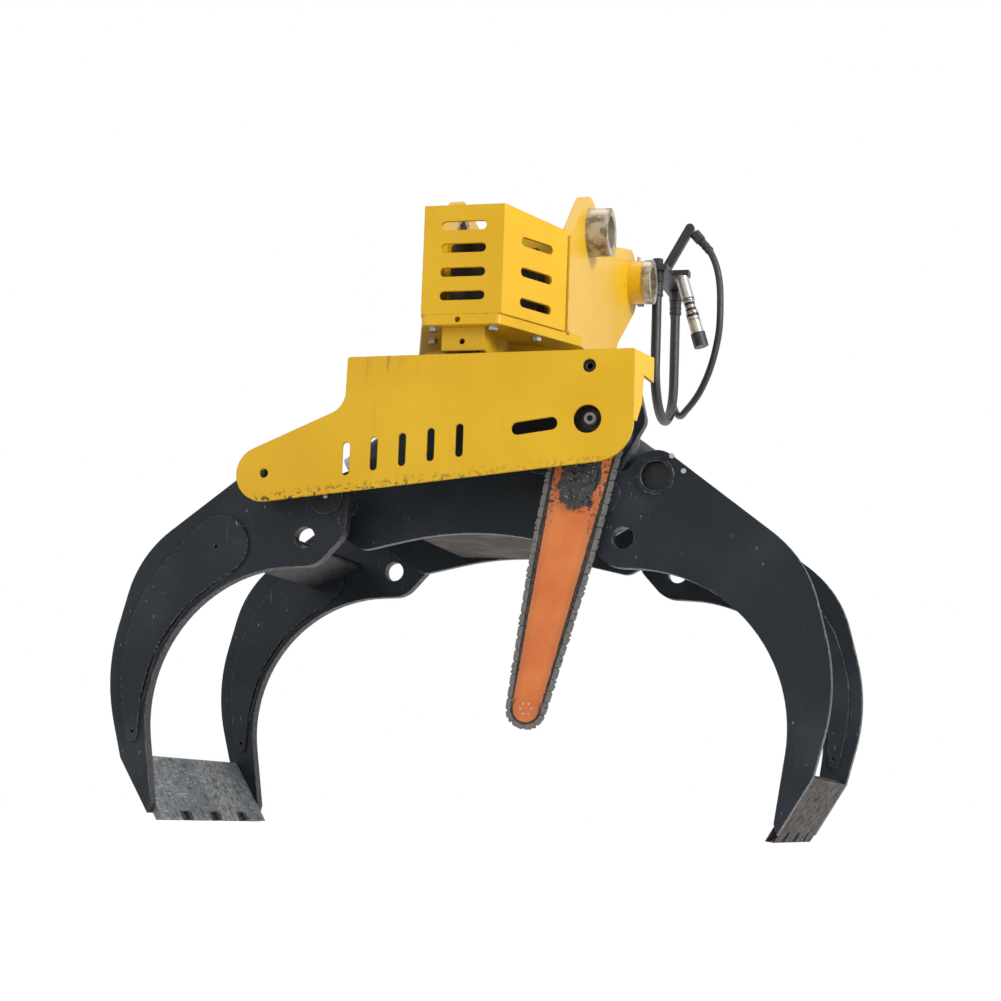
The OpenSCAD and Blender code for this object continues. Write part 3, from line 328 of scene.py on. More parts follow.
# Head: welded yellow plates. The two ears stand on the base plate, between the front bulkhead
# and the rear cross plate, and have weld beads along their feet and round the bosses of the arm
# pin.
SLEW_AT = Vector((-20, -370, -525))
YELLOW = (0.63, 0.352, 0.005, 1)
YELLOW_PALE = (0.71, 0.445, 0.014, 1)
RUST = (0.085, 0.028, 0.012, 1)
PRIMER = (0.035, 0.024, 0.02, 1)
GRIME = (0.20, 0.13, 0.05, 1)


def yellow_paint(name, drip_mask=None, chip_mask=None):
    """Chrome yellow, with dust and with chips along the edges."""
    paint = Finish(name)
    broad = paint.noise(0.22, 5)
    fine = paint.noise(0.009, 6, 0.65)
    wear = paint.edges(0.003).over(0.02, 0.3)
    chips = (wear * fine.over(0.55, 0.64)).most(paint.noise(0.03, 7, 0.7).over(0.735, 0.745))
    if chip_mask:
        chips = chips.most(chip_mask(paint) * fine.over(0.52, 0.58))
    tone = paint.mix(broad.over(0.35, 0.7) * 0.6, YELLOW, YELLOW_PALE)
    runs = paint.noise(0.012, 4, 0.6, (1, 1, 0.09)).over(0.58, 0.74)
    patches = broad.over(0.5, 0.62) * 0.22
    if drip_mask:
        patches = patches.most(drip_mask(paint) * 0.6)
    dirty = paint.mix(runs * patches, tone, GRIME)
    deep = paint.mix(fine.over(0.6, 0.62), RUST, PRIMER)
    paint.set(base_color=paint.mix(chips, dirty, deep), roughness=fine * 0.2 + chips * 0.3 + 0.27,
              specular_ior_level=0.32, coat_weight=0.06, coat_roughness=0.12)
    paint.bump(chips * -0.6 + paint.noise(0.0035, 3) * 0.10 + broad * 0.6, 0.0004, 0.0022)
    return paint


def dress(finish, *names):
    """Puts a finish on the nodes of these names."""
    for name in names:
        mesh = nodes[name].data
        mesh.materials.clear()
        mesh.materials.append(finish.material)


yellow = yellow_paint("yellow_paint")
dress(yellow, "head_base_plate", "head_ear_left", "head_ear_right", "head_front_bulkhead",
      "head_rear_cross_plate", "pinion_guard")


class Pattern:
    """Small parts set on points or along lines by Geometry Nodes."""

    def __init__(self, name, *sizes):
        self.tree = bpy.data.node_groups.new(name, "GeometryNodeTree")
        face = self.tree.interface
        face.new_socket("Places", in_out="INPUT", socket_type="NodeSocketGeometry")
        for size in sizes:
            face.new_socket(size, in_out="INPUT", socket_type="NodeSocketFloat")
        face.new_socket("Turn", in_out="INPUT", socket_type="NodeSocketVector")
        face.new_socket("Finish", in_out="INPUT", socket_type="NodeSocketMaterial")
        face.new_socket("Parts", in_out="OUTPUT", socket_type="NodeSocketGeometry")
        self.inputs = self.tree.nodes.new("NodeGroupInput").outputs
        self.end = self.tree.nodes.new("NodeGroupOutput")

    def node(self, kind, settings, *values, out=0):
        node = self.tree.nodes.new(kind)
        for key, setting in settings.items():
            setattr(node, key, setting)
        for socket, value in zip([s for s in node.inputs if s.enabled], values):
            if isinstance(value, bpy.types.NodeSocket):
                self.tree.links.new(value, socket)
            elif value is not None:
                socket.default_value = value
        return [s for s in node.outputs if s.enabled][out]

    def math(self, operation, *values):
        return self.node("ShaderNodeMath", {"operation": operation}, *values)

    def close(self, parts):
        whole = self.node("GeometryNodeRealizeInstances", {}, parts)
        dressed = self.node("GeometryNodeSetMaterial", {}, whole, None, self.inputs["Finish"])
        self.tree.links.new(dressed, self.end.inputs[0])

    def make(self, name, body, slot, finish, points, lines=(), turn=(0, 0, 0), **sizes):
        """Sets the parts on the points, and leaves a plain mesh that rides on the body."""
        mesh = bpy.data.meshes.new(name)
        mesh.from_pydata([tuple(p) for p in points], list(lines), [])
        piece = added(name, mesh)
        modifier = piece.modifiers.new("parts", "NODES")
        modifier.node_group = self.tree
        given = {"Turn": turn, "Finish": finish.material, **sizes}
        for item in self.tree.interface.items_tree:
            if item.in_out == "INPUT" and item.name in given:
                modifier[item.identifier] = given[item.name]
        seen_now = bpy.context.evaluated_depsgraph_get()
        whole = bpy.data.meshes.new_from_object(piece.evaluated_get(seen_now))
        piece.modifiers.clear()
        piece.data = whole
        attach(piece, body)
        return piece


bead = Pattern("weld_bead", "Radius", "Ripple")
track = bead.node("GeometryNodeMeshToCurve", {}, bead.inputs["Places"])
track = bead.node("GeometryNodeResampleCurve", {"mode": "LENGTH"}, track, None, None,
                  bead.inputs["Ripple"])
count = bead.node("GeometryNodeInputIndex", {})
WAVE_TURN, WAVE_SHARE = 1.6, 0.16
swing = bead.math("SINE", bead.math("MULTIPLY", count, WAVE_TURN))
wave = bead.math("MULTIPLY_ADD", swing, WAVE_SHARE, 1.0)
track = bead.node("GeometryNodeSetCurveRadius", {}, track, None, wave)
ring = bead.node("GeometryNodeCurvePrimitiveCircle", {"mode": "RADIUS"}, 8, bead.inputs["Radius"])
bead_mesh = bead.node("GeometryNodeCurveToMesh", {}, track, ring, None, True)
bead.close(bead_mesh)


def slew_line(*points):
    """Points given in millimetres from the slew axis at the height of the tine pivots, moved to
    the part's frame."""
    return [(Vector(p) + SLEW_AT) * MM for p in points]


def ring_line(middle, radius, axis, parts=48):
    """A round line about a point in millimetres, square to one axis."""
    u, w = [i for i in range(3) if i != axis]
    points = []
    for k in range(parts):
        at = Vector(middle)
        at[u] += radius * math.cos(k * math.tau / parts)
        at[w] += radius * math.sin(k * math.tau / parts)
        points.append(at)
    return slew_line(*points), [(k, (k + 1) % parts) for k in range(parts)]


def joined(*loops):
    """Several lines as one list of points and one of links."""
    points, links = [], []
    for line_points, line_links in loops:
        links += [(a + len(points), b + len(points)) for a, b in line_links]
        points += line_points
    return points, links


def straight(a, b):
    """A line between two points in millimetres."""
    return slew_line(a, b), [(0, 1)]


HEAD_LEFT, HEAD_RIGHT, EAR_T = -110, 150, 20
EAR_BACK, EAR_FRONT, BASE_TOP = 197, -165, 305
PIN_Y, PIN_Z, BOSS_SEAM_R = 370, 525, 43.5
ear_seams = [straight((x, EAR_FRONT, BASE_TOP), (x, EAR_BACK, BASE_TOP))
             for x in (HEAD_LEFT, HEAD_LEFT + EAR_T, HEAD_RIGHT - EAR_T, HEAD_RIGHT)]
boss_seams = [ring_line((x, PIN_Y, PIN_Z), BOSS_SEAM_R, 0) for x in (HEAD_LEFT, HEAD_RIGHT)]
points, links = joined(*ear_seams, *boss_seams)
bead.make("head_weld_beads", "head", "yellow_paint", yellow, points, links,
          Radius=0.0034, Ripple=0.0013)

# Cover: folded yellow sheet in front of the black slew motor, with slots cut in its three
# faces, bolted through its feet to the base plate.
cover_paint = yellow_paint("cover_paint")
dress(cover_paint, "head_cover")

# Hitch bushes: turned steel collars on both ears, with dried grease, and a grease nipple over
# each boss of the arm pin.
bush = Finish("bush_steel")
turned = bush.noise(0.0012, 3, 0.5, (8, 1, 1))
stain = bush.noise(0.02, 6, 0.6).over(0.45, 0.62)
tone = bush.mix(turned.over(0.4, 0.6), (0.34, 0.29, 0.21, 1), (0.50, 0.44, 0.35, 1))
bush.set(base_color=bush.mix(stain * 0.75, tone, (0.11, 0.07, 0.035, 1)),
         roughness=stain * 0.3 + 0.33, metallic=0.6)
bush.bump(turned * 0.5 + stain * 0.5, 0.0003, 0.0012)
dress(bush, "link_bushes", "arm_bushes")


def turned_part(name, body, finish, profile, at, axis, parts=24):
    """A turned part: its profile of (along, radius) in millimetres goes round an axis."""
    along = Vector(axis).normalized()
    side = along.orthogonal().normalized()
    other = along.cross(side)
    verts, faces = [], []
    for far, radius in profile:
        for k in range(parts):
            w = k * math.tau / parts
            outward = math.cos(w) * side + math.sin(w) * other
            verts.append((Vector(at) + far * along + radius * outward) * MM)
    for i in range(len(profile) - 1):
        for k in range(parts):
            a, b = i * parts + k, i * parts + (k + 1) % parts
            faces.append((a, b, b + parts, a + parts))
    faces.append(tuple(range(parts - 1, -1, -1)))
    faces.append(tuple(range((len(profile) - 1) * parts, len(profile) * parts)))
    mesh = bpy.data.meshes.new(name)
    mesh.from_pydata(verts, [], faces)
    mesh.materials.append(finish.material)
    piece = added(name, mesh)
    for face in mesh.polygons:
        face.use_smooth = len(face.vertices) == 4
    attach(piece, body)
    return piece


steel = Finish("machined_steel")
turned = steel.noise(0.002, 3, 0.5, (1, 1, 8))
stain = steel.noise(0.03, 5).over(0.5, 0.7)
steel.set(base_color=steel.mix(stain * 0.6, (0.36, 0.34, 0.31, 1), (0.13, 0.10, 0.075, 1)),
          roughness=turned * 0.2 + stain * 0.25 + 0.27, metallic=0.85)
steel.bump(turned, 0.0002, 0.001)
NIPPLE = [(-1, 4), (3, 4), (3, 2.6), (5, 2.2), (6.5, 3.2), (8.5, 3.2), (10, 1.8)]
BOSS_R, BOSS_MIDDLE, NIPPLE_PARTS = 42.5, 15, 12
for number, x in enumerate((HEAD_LEFT - BOSS_MIDDLE, HEAD_RIGHT + BOSS_MIDDLE)):
    turned_part(f"boss_grease_nipple_{number}", "head", steel, NIPPLE,
                Vector((x, PIN_Y, PIN_Z + BOSS_R)) + SLEW_AT, (0, 0, 1), NIPPLE_PARTS)

# Slew drive: the motor on the base plate turns the pinion, which runs on the toothed outer
# race. Both races are turned steel, held by hexagon bolts. The other parts in black paint, bare
# steel or rubber are dressed here too.
black = Finish("black_paint")
speck = black.noise(0.006, 5, 0.6)
worn_edge = black.edges(0.0025).over(0.03, 0.3) * speck.over(0.45, 0.6)
BLACK, DUSTY_BLACK = (0.014, 0.015, 0.017, 1), (0.05, 0.045, 0.04, 1)
tone = black.mix(black.noise(0.08, 5).over(0.45, 0.7) * 0.7, BLACK, DUSTY_BLACK)
black.set(base_color=black.mix(worn_edge, tone, (0.22, 0.19, 0.16, 1)),
          roughness=speck * 0.2 + 0.35, specular_ior_level=0.4)
black.bump(speck * 0.3, 0.0004, 0.002)
dress(black, "slew_motor", "swivel_housing", "saw_motor", "hose_bracket")
dress(steel, "cover_bolts", "slew_ring_inner", "slew_ring_bolts", "slew_pinion", "slew_ring_outer",
      "anchor_pins", "swivel_core", "nose_sprocket", "cylinder_left_gland", "cylinder_right_gland")
dress(rubber, "coupler_cap", "hose_thick", "hose_thin")

hex_bolt = Pattern("hex_bolt", "Radius", "Height")
head_part = hex_bolt.node("GeometryNodeMeshCylinder", {"fill_type": "NGON"}, 6, 1, 1,
                          hex_bolt.inputs["Radius"], hex_bolt.inputs["Height"])
WASHER_WIDTH, WASHER_HEIGHT, HEAD_LIFT = 1.25, 0.35, 0.6
washer_r = hex_bolt.math("MULTIPLY", hex_bolt.inputs["Radius"], WASHER_WIDTH)
washer_h = hex_bolt.math("MULTIPLY", hex_bolt.inputs["Height"], WASHER_HEIGHT)
washer = hex_bolt.node("GeometryNodeMeshCylinder", {"fill_type": "NGON"}, 24, 1, 1,
                       washer_r, washer_h)
lift = hex_bolt.node("ShaderNodeCombineXYZ", {}, None, None,
                     hex_bolt.math("MULTIPLY", hex_bolt.inputs["Height"], HEAD_LIFT))
raised_head = hex_bolt.node("GeometryNodeTransform", {}, head_part, None, lift)
both = hex_bolt.node("GeometryNodeJoinGeometry", {}, washer)
hex_bolt.tree.links.new(raised_head, both.node.inputs[0])
bolts = hex_bolt.node("GeometryNodeInstanceOnPoints", {}, hex_bolt.inputs["Places"], None, both,
                      None, None, hex_bolt.inputs["Turn"])
hex_bolt.close(bolts)

PINION_Y, MOTOR_BOLT, MOTOR_FLANGE_TOP = -182.5, 54, 15
motor_bolts = [(sx * MOTOR_BOLT, PINION_Y + sy * MOTOR_BOLT, BASE_TOP + MOTOR_FLANGE_TOP)
               for sx in (-1, 1) for sy in (-1, 1)]
hex_bolt.make("slew_motor_bolts", "head", "machined_steel", steel, slew_line(*motor_bolts),
              Radius=0.008, Height=0.008)
SWIVEL_BOLT_R, SWIVEL_BOLTS, SWIVEL_FLANGE_TOP = 66, 8, 13
swivel_bolts = [(SWIVEL_BOLT_R * math.cos(k * math.tau / SWIVEL_BOLTS),
                 SWIVEL_BOLT_R * math.sin(k * math.tau / SWIVEL_BOLTS),
                 BASE_TOP + SWIVEL_FLANGE_TOP) for k in range(SWIVEL_BOLTS)]
hex_bolt.make("swivel_foot_bolts", "head", "machined_steel", steel, slew_line(*swivel_bolts),
              Radius=0.006, Height=0.006)

# Hose ends: black hexagon fittings of steel under and over the bracket, and a ribbed sleeve
# crimped on each end of both hoses.
dress(black, "hose_fittings")
SLEEVE = [(0, 9), (2, 12.5), (6, 12.5), (7, 11.8), (12, 11.8), (13, 12.5), (17, 12.5), (18, 11.8),
          (23, 11.8), (24, 12.5), (28, 12.5), (31, 10.2)]
DOWN, THIN_SHARE = (0, 0, -1), 0.72
last = Vector(THIN_ROUTE[-1])
hose_ends = [((*THICK_FRONT, HOSE_TOP), DOWN, 1.0), ((*THICK_REAR, HOSE_TOP), DOWN, 1.0),
             (THIN_ROUTE[0], DOWN, THIN_SHARE), (last, Vector(THIN_ROUTE[-2]) - last, THIN_SHARE)]
for number, (end, way, share) in enumerate(hose_ends):
    turned_part(f"hose_sleeve_{number}", "head", black,
                [(along, radius * share) for along, radius in SLEEVE],
                Vector(end) + Vector((EAR_FACE, 0, 0)), way)

# Coupler for the tool's second circuit: a plated socket under the bracket's arm, with knurled
# rings that grease has darkened, and a rubber cap.
COUPLER_AT = Vector((EAR_FACE + 85, 110, 30)) * MM
COUPLER_TILT = math.radians(163.4)
KNURL_PITCH, KNURL_FROM, KNURL_TO, KNURL_SOFT = 0.0125, 0.040, 0.088, 0.002
plated = Finish("plated_knurl")
x, z = plated.where(0) - COUPLER_AT.x, plated.where(2) - COUPLER_AT.z
u = x * math.sin(COUPLER_TILT) + z * math.cos(COUPLER_TILT)
band = u.over(KNURL_FROM, KNURL_FROM + KNURL_SOFT) * (1 - u.over(KNURL_TO, KNURL_TO + KNURL_SOFT))
knurl = (u * (math.tau / KNURL_PITCH)).math("SINE").over(0.0, 0.5) * band
speck = plated.noise(0.003, 4, 0.7).over(0.50, 0.58)
worn = plated.mix(speck * 0.35, (0.50, 0.48, 0.44, 1), (0.10, 0.09, 0.08, 1))
plated.set(base_color=plated.mix(knurl.most(speck * band), worn, (0.022, 0.020, 0.018, 1)),
           roughness=speck * 0.2 + 0.28, metallic=0.6)
plated.bump(knurl * -1.0, 0.0012, 0.001)
dress(plated, "quick_coupler")

# Frame: two blue-black plates under a top plate, with the webs and lugs of the cylinders
# between them. All of it is welded, and hangs on the outer race of the slew ring.
BLUE_BLACK = (0.0095, 0.0140, 0.0190, 1)
DUSTY_BLUE = (0.023, 0.029, 0.035, 1)
BARE_STEEL = (0.26, 0.25, 0.235, 1)
RUST_BROWN = (0.07, 0.03, 0.015, 1)


def blue_black_paint(name, rust_mask=None):
    """Satin blue-black, scratched by the work and rusty in places."""
    paint = Finish(name)
    broad = paint.noise(0.15, 6)
    fine = paint.noise(0.008, 6, 0.7)
    scratches = paint.noise(0.006, 3, 0.5, (1, 1, 0.05), (0, 0.6, 0)).over(0.70, 0.74)
    nicks = paint.noise(0.005, 2, 0.5, (1, 1, 0.4), (0, 0.9, 0)).over(0.735, 0.75)
    wear = paint.edges(0.003).over(0.03, 0.35)
    worn = (wear * fine.over(0.45, 0.6)).most(scratches * broad.over(0.5, 0.65) * 0.55)
    worn = worn.most(nicks * broad.over(0.45, 0.55) * 0.7)
    rusty = paint.noise(0.035, 7, 0.7).over(0.67, 0.71)
    if rust_mask:
        rusty = rusty.most(rust_mask(paint) * fine.over(0.42, 0.62))
    tone = paint.mix(broad.over(0.4, 0.7) * 0.8, BLUE_BLACK, DUSTY_BLUE)
    bare = paint.mix(worn, tone, BARE_STEEL)
    paint.set(base_color=paint.mix(rusty * 0.8, bare, RUST_BROWN),
              roughness=fine * 0.25 + rusty * 0.3 + 0.3, metallic=worn * 0.6,
              specular_ior_level=0.18, coat_weight=0.02, coat_roughness=0.2)
    paint.bump(paint.noise(0.003, 3) * 0.15 + rusty * 0.4 + broad * 0.5, 0.0004, 0.002)
    return paint


dark = blue_black_paint("tine_paint")
dress(dark, "frame_top_plate", "frame_front_plate", "frame_rear_plate", "frame_side_webs",
      "pivot_pins_left", "pivot_pins_right", "saw_mount_plate", "guard_spacers", "saw_bearing")
FRAME_Y, PLATE_Y, TOP_EDGE, TOP_Z = 192.5, 176.5, 148, 220
SEAM_Z, FLOOR_EDGE = -41, 118
floor_seams = [straight((-FLOOR_EDGE, side * PLATE_Y, SEAM_Z), (FLOOR_EDGE, side * PLATE_Y, SEAM_Z))
               for side in (-1, 1)]
top_seams = [straight((-TOP_EDGE, side * FRAME_Y, TOP_Z), (TOP_EDGE, side * FRAME_Y, TOP_Z))
             for side in (-1, 1)]
points, links = joined(*floor_seams, *top_seams)
bead.make("frame_weld_beads", "frame", "tine_paint", dark, points, links,
          Radius=0.0036, Ripple=0.0014)

# Floor of the frame: a bare steel plate welded between the front and rear plates, scoured to
# beige by the logs and stained by oil and rust.
stained = Finish("stained_steel")
broad = stained.noise(0.07, 6, 0.65)
pool = broad.over(0.43, 0.50)
fine = stained.noise(0.006, 6, 0.65)
pale = stained.mix(fine.over(0.4, 0.65), (0.050, 0.037, 0.026, 1), (0.085, 0.066, 0.049, 1))
stained.set(base_color=stained.mix(pool * 0.95, pale, (0.022, 0.011, 0.008, 1)),
            roughness=fine * 0.2 + 0.42, specular_ior_level=0.04)
stained.bump(fine * 0.5 + pool * 0.3, 0.0005, 0.002)
dress(stained, "frame_bottom_plate")

# Tines: each has two thick curved plates with doublers welded along them, a cross tube round
# the cylinder pin and a web. Both hang on short pins with grease nipples in their caps, but for
# the one that the bar passes.


def cut_edges(paint):
    """On the flame-cut edges of the plates, which don't face front or rear."""
    return (1 - paint.facing(1).size()) * 0.55


tine_paint = blue_black_paint("tine_plate_paint", cut_edges)
dress(tine_paint, *[f"tine_{side}_{part}" for side in ("left", "right")
                    for part in ("front_plate", "rear_plate", "doublers", "crossmember")])


def rim(name, axis, at):
    """Points and links round the flat face of a node that lies at one place on an axis."""
    mesh = nodes[name].data
    near = 0.00006
    uses = {}
    for face in mesh.polygons:
        corners = [tuple(round(v, 5) for v in mesh.vertices[i].co) for i in face.vertices]
        if all(abs(corner[axis] - at) < near for corner in corners):
            for pair in zip(corners, corners[1:] + corners[:1]):
                key = tuple(sorted(pair))
                uses[key] = uses.get(key, 0) + 1
    edges_here = [pair for pair, count_here in uses.items() if count_here == 1]
    points_here = sorted({point for pair in edges_here for point in pair})
    number_of = {point: i for i, point in enumerate(points_here)}
    return [Vector(p) for p in points_here], [(number_of[a], number_of[b]) for a, b in edges_here]


TINE_Y, TINE_IN_Y, DOUBLER_T = 272.5, 247.5, 6
for side, front in (("left", -TINE_Y), ("right", -TINE_IN_Y)):
    loops = []
    for base_y, outward in ((front, -1 if side == "left" else 1), (TINE_IN_Y, -1)):
        face_y = (base_y + outward * DOUBLER_T + SLEW_AT.y) * MM
        around, around_links = rim(f"tine_{side}_doublers", 1, face_y)
        loops.append(([p - Vector((0, outward * DOUBLER_T * MM, 0)) for p in around], around_links))
    points, links = joined(*loops)
    bead.make(f"tine_{side}_doubler_beads", f"tine_{side}", "tine_paint", tine_paint, points, links,
              Radius=0.0030, Ripple=0.0014)

PIVOT_X, CAP_FRONT, NIPPLE_SUNK = 244, 277.8, 2
SHORT_NIPPLE = [(along * 0.5, radius) for along, radius in NIPPLE]
ROD_PIN, RING_SEAM_R = (89, 33), 31.8
for side, s in (("left", -1), ("right", 1)):
    rings = [ring_line((s * (PIVOT_X + ROD_PIN[0]), y, ROD_PIN[1]), RING_SEAM_R, 1)
             for y in (-TINE_Y, TINE_Y)]
    points, links = joined(*rings)
    bead.make(f"tine_{side}_ring_beads", f"tine_{side}", "tine_paint", tine_paint, points, links,
              Radius=0.0026, Ripple=0.0012)
    for number, k in enumerate((-1, 1) if s < 0 else (1,)):
        turned_part(f"pivot_{side}_grease_nipple_{number}", "frame", steel,
                    SHORT_NIPPLE, Vector((s * PIVOT_X, k * (CAP_FRONT - NIPPLE_SUNK), 0)) + SLEW_AT,
                    (0, k, 0), NIPPLE_PARTS)

# Cylinder pins: turned steel pins through the cross tubes of the tines. Their oily ends lie dark
# behind the rings.
pin_end = Finish("pin_oil")
sheen = pin_end.noise(0.012, 5).over(0.45, 0.7)
pin_end.set(base_color=pin_end.mix(sheen, (0.012, 0.014, 0.017, 1), (0.04, 0.040, 0.040, 1)),
            roughness=sheen * 0.2 + 0.4, specular_ior_level=0.3)
pin_end.bump(sheen * 0.3, 0.0003, 0.001)
dress(pin_end, "tine_left_cylinder_pin", "tine_right_cylinder_pin")

# Tip plates: hard bare plates between the two plates of each tine, with notched edges, scoured
# by bark and soil. The right one is painted far darker than the left, as painted shade over its
# rust.
TIP_MIDDLE, TIP_NOTCH, SCRAPE_AT = 0.370, 0.13625, 0.28
# Height band of the painted shade at the notches along the lower edge.
NOTCH_SHADE_LOW, NOTCH_SHADE_HIGH = -1.074, -1.067


def scoured(name, dull, bright, rusty_share):
    """Bare plate with scratches, rust and chips along its edges, and painted shade at the notches
    of its lower edge.
    """
    ground = Finish(name)
    broad = ground.noise(0.05, 6, 0.6)
    lines = ground.noise(0.0025, 4, 0.6, (1, 0.08, 1), (0.5, 0, 0)).over(0.48, 0.66)
    speck = ground.noise(0.006, 6, 0.7)
    brown = ground.noise(0.016, 7, 0.7).over(0.50, 0.60)
    by_edge = ground.edges(0.008).over(0.01, 0.2)
    chipped = ground.noise(0.008, 5, 0.7).over(0.66, 0.69) * broad.over(0.4, 0.5)
    pale = (by_edge * speck.over(0.45, 0.55)).most(chipped)
    across, up = ground.where(1), ground.where(2)
    scrape = (1 - (across + SCRAPE_AT).size().over(0.06, 0.10)) * speck.over(0.46, 0.54)
    base = ground.mix((lines * broad.over(0.42, 0.58)).most(scrape * 0.9), dull, bright)
    base = ground.mix(brown * rusty_share, base, (0.055, 0.026, 0.014, 1))
    chip_tone = tuple(0.12 + 1.1 * level for level in bright[:3]) + (1,)
    base = ground.mix(pale * 0.7, base, chip_tone)
    # Painted shade: near-black at the notches along the plate's lower edge, standing in for the
    # shade seen in them.
    from_middle = (across + TIP_MIDDLE).size()
    near_notch = 1 - from_middle.math("PINGPONG", TIP_NOTCH / 2).over(0.022, 0.028)
    notch = near_notch * (1 - from_middle.over(0.17, 0.18))
    notch_painted_shade = notch * (1 - up.over(NOTCH_SHADE_LOW, NOTCH_SHADE_HIGH))
    ground.set(base_color=ground.mix(notch_painted_shade * 0.9, base, (0.012, 0.009, 0.008, 1)),
               roughness=brown * 0.3 + 0.5, specular_ior_level=0.06)
    ground.bump(brown * 0.5 + speck * 0.4, 0.0006, 0.002)
    return ground


grey_tip = scoured("tip_steel_grey", (0.135, 0.155, 0.168, 1), (0.36, 0.37, 0.37, 1), 0.45)
dress(grey_tip, "tine_left_tip_plate")
# Painted shade: the right tine's plate takes a near-black copy of the same steel, with a little
# more rust.
shaded_brown_tip = scoured("tip_steel_brown_painted_shade", (0.009, 0.0065, 0.005, 1), (0.036, 0.027, 0.020, 1), 0.6)
dress(shaded_brown_tip, "tine_right_tip_plate")

# Cylinders: a painted barrel on the frame's lug, a chromed rod, and a steel oil pipe along the
# rear of the barrel from its base to its gland.
dress(dark, "cylinder_left_barrel", "cylinder_right_barrel")
chrome = Finish("chrome_rod")
wipe = chrome.noise(0.004, 4, 0.5, (1, 0.1, 1))
CHROME, OILY_CHROME = (0.62, 0.62, 0.63, 1), (0.25, 0.23, 0.2, 1)
chrome.set(base_color=chrome.mix(wipe.over(0.5, 0.7) * 0.4, CHROME, OILY_CHROME),
           roughness=wipe * 0.12 + 0.1, metallic=1.0)
dress(chrome, "cylinder_left_rod", "cylinder_right_rod")
ANCHOR = (120, 186)
LIFT_ANGLE = math.radians(35.69)
PIPE_R = 0.005
PIPE_ROUTE = [(58, 16, 36), (58, 20, 45), (66, 21, 48.5), (160, 21, 48.5), (168, 20, 45),
              (168, 16, 36)]


def on_barrel(s, along, out, rearward):
    """A place in millimetres along a barrel, out from its axis on the upper side, and rearward."""
    level_run = along * math.cos(LIFT_ANGLE) + out * math.sin(LIFT_ANGLE)
    rise = out * math.cos(LIFT_ANGLE) - along * math.sin(LIFT_ANGLE)
    return Vector((s * (ANCHOR[0] + level_run), rearward, ANCHOR[1] + rise)) + SLEW_AT


for side, s in (("left", -1), ("right", 1)):
    pipe = tube(f"cylinder_{side}_pipe", [on_barrel(s, *place) for place in PIPE_ROUTE],
                PIPE_R, 3, steel)[0]
    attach(pipe, f"barrel_{side}")

# Guard of the saw: flame-cut yellow sheet on two posts, with five upright slots and a wide one,
# worn through to rust along its lower edge and stained by drips under its top edge.
GUARD_LOW = (-0.360, -0.5445, 0.1125)


def low_edge(paint):
    """Near the guard's sloping lower edge, most of all at its left."""
    x, z = paint.where(0), paint.where(2)
    over_edge = z - ((x - GUARD_LOW[0]) * GUARD_LOW[2] + GUARD_LOW[1])
    return (1 - over_edge.over(0.004, 0.022)) * (1 - x.over(-0.30, 0.12) * 0.6)


def top_left(paint):
    """Under the guard's top edge, at its left."""
    x, z = paint.where(0), paint.where(2)
    return z.over(-0.36, -0.31) * (1 - x.over(-0.12, 0.0)) * x.over(-0.25, -0.2)


guard_paint = yellow_paint("guard_paint", top_left, low_edge)
dress(guard_paint, "saw_guard")

# Saw bar: a grooved steel plate in orange paint, rubbed down to a dark oily line beside the
# chain and black with grease round the clamp. Six rivets hold the nose wheel.
SAW_AT = (0.209, -0.402)
BAR_DIR = (math.cos(math.radians(101.7)), -math.sin(math.radians(101.7)))
NOSE_U, ROOT_R, NOSE_R, BELLY_U = 0.492, 0.049, 0.025, 0.060
orange = Finish("bar_paint")
x, z = orange.where(0) - SAW_AT[0], orange.where(2) - SAW_AT[1]
u = x * BAR_DIR[0] + z * BAR_DIR[1]
v = (z * BAR_DIR[0] - x * BAR_DIR[1]).size()
half = ROOT_R - (u - BELLY_U) * ((ROOT_R - NOSE_R) / (NOSE_U - BELLY_U))
ragged = orange.noise(0.008, 5, 0.6) - 0.5
by_nose = u.over(NOSE_U - 0.02, NOSE_U)
rail = (v - half + ragged * 0.004).over(-0.0022, -0.0014) * (1 - by_nose)
past = u - NOSE_U
from_nose = (past * past + v * v).math("SQRT")
tip = from_nose.over(NOSE_R - 0.0035, NOSE_R - 0.0028) * by_nose
rubbed = rail.most(tip)
near_clamp = (1 - u.over(0.10, 0.17)) * (1 - v.over(0.022, 0.040))
spread = (orange.noise(0.014, 7, 0.7) + near_clamp * 0.3).over(0.56, 0.62)
grease = near_clamp.over(0.05, 0.2) * spread
pits = orange.noise(0.006, 4, 0.7).over(0.54, 0.57) * (1 - u.over(0.15, 0.22))
pits = pits * (v - half).over(-0.016, -0.010)
ORANGE, ORANGE_PALE = (0.54, 0.125, 0.022, 1), (0.62, 0.185, 0.040, 1)
tone = orange.mix(orange.noise(0.10, 5).over(0.35, 0.7), ORANGE, ORANGE_PALE)
faded = orange.mix((v - half).over(-0.016, -0.005) * 0.35, tone, (0.30, 0.10, 0.045, 1))
RAIL_DARK, RAIL_BROWN = (0.022, 0.016, 0.013, 1), (0.06, 0.045, 0.036, 1)
metal = orange.mix(orange.noise(0.006, 4, 0.6).over(0.4, 0.6), RAIL_DARK, RAIL_BROWN)
shown = orange.mix(rubbed, faded, metal)
orange.set(base_color=orange.mix(grease.most(pits), shown, (0.012, 0.011, 0.011, 1)),
           roughness=grease * -0.12 + orange.noise(0.02, 4) * 0.2 + 0.36, metallic=rubbed * 0.6)
orange.bump(grease * 1.2 + orange.noise(0.003, 4) * 0.25, 0.0005, 0.001)
dress(orange, "saw_bar")

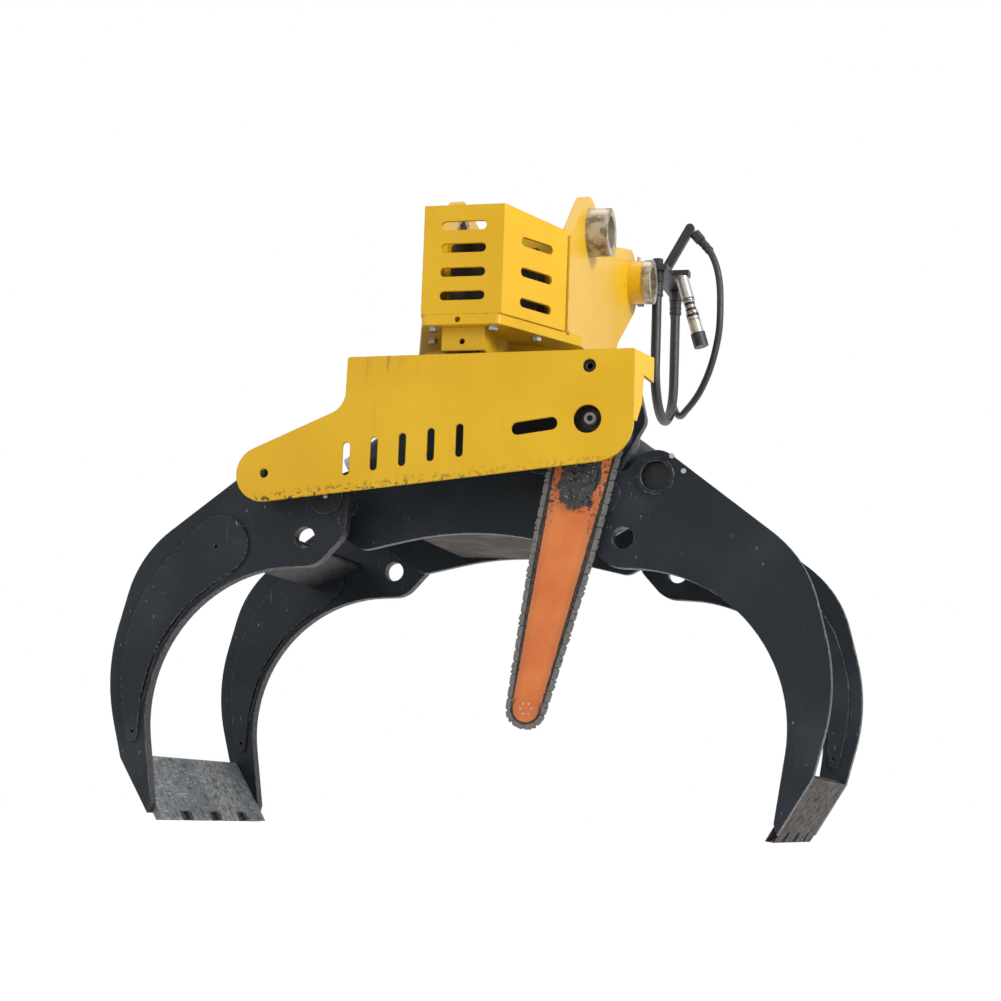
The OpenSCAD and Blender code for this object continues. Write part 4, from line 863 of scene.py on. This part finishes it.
rivet = Pattern("rivet", "Radius", "Height")
rivet_head = rivet.node("GeometryNodeMeshCylinder", {"fill_type": "NGON"}, 14, 1, 1,
                        rivet.inputs["Radius"], rivet.inputs["Height"])
rivets = rivet.node("GeometryNodeInstanceOnPoints", {}, rivet.inputs["Places"], None, rivet_head,
                    None, None, rivet.inputs["Turn"])
rivet.close(rivets)
ACROSS = (math.pi / 2, 0, 0)
BAR_Y = -0.6625
nose = Vector((SAW_AT[0] + NOSE_U * BAR_DIR[0], 0, SAW_AT[1] + NOSE_U * BAR_DIR[1]))
RIVET_RING, RIVETS = 0.0095, 6
nose_rivets = [nose + Vector((RIVET_RING * math.cos(k * math.tau / RIVETS), BAR_Y,
                              RIVET_RING * math.sin(k * math.tau / RIVETS))) for k in range(RIVETS)]
rivet.make("bar_nose_rivets", "saw", "machined_steel", steel, nose_rivets, turn=ACROSS,
           Radius=0.0019, Height=0.0068)

# Hub of the drive wheel: a dark oily boss of steel that turns with the wheel, with the bright
# ring of the shaft's turned end in its middle.
hub = Finish("hub_oil")
x, z = hub.where(0) - SAW_AT[0], hub.where(2) - SAW_AT[1]
from_axis = (x * x + z * z).math("SQRT")
ring_light = from_axis.over(0.0048, 0.0054) * (1 - from_axis.over(0.0098, 0.0106))
sheen = hub.noise(0.006, 4).over(0.4, 0.65)
tone = hub.mix(sheen, (0.014, 0.014, 0.014, 1), (0.05, 0.046, 0.042, 1))
hub.set(base_color=hub.mix(ring_light, tone, (0.22, 0.21, 0.20, 1)), roughness=sheen * 0.2 + 0.35,
        metallic=0.2, specular_ior_level=0.3)
dress(hub, "drive_sprocket")

# Lock screws: two small steel screws in the front plate of each tine, beside the ring of the
# cylinder pin.
LOCK_SCREWS, SCREW_OUT = ((27, 33), (47.5, 7.5)), 2
for side, s in (("left", -1), ("right", 1)):
    screws = slew_line(*[(s * (PIVOT_X + ROD_PIN[0] + out), -TINE_Y - SCREW_OUT, ROD_PIN[1] + up)
                         for out, up in LOCK_SCREWS])
    rivet.make(f"tine_{side}_lock_screws", f"tine_{side}", "machined_steel", steel, screws,
               turn=ACROSS, Radius=0.0045, Height=0.006)

# Clamp of the bar: steel plates on both faces of its root, drawn together by six bolts, and
# thick with black grease and sawdust.
caked = Finish("caked_grease")
lumps = caked.noise(0.010, 6, 0.65)
flakes = caked.noise(0.006, 6, 0.65).over(0.57, 0.62)
caked.set(base_color=caked.mix(flakes * 0.8, (0.012, 0.013, 0.014, 1), (0.34, 0.32, 0.29, 1)),
          roughness=lumps * 0.35 + 0.18)
caked.bump(lumps + flakes * 0.3, 0.003, 0.002)
dress(caked, "bar_clamp")

# Saw chain: oily steel links in the groove along the bar's edges. Straps, cutters and drive
# links are joined by rivets, and it stays still on the bar while both wheels turn.
oily = Finish("chain_steel")
shine = oily.noise(0.004, 4)
LINK_DARK, LINK_PALE = (0.105, 0.101, 0.095, 1), (0.150, 0.145, 0.137, 1)
oily.set(base_color=oily.mix(shine.over(0.4, 0.65), LINK_DARK, LINK_PALE),
         roughness=shine * 0.15 + 0.42, metallic=0.25)
oily.bump(shine, 0.0001, 0.0005)
dress(oily, "saw_chain")
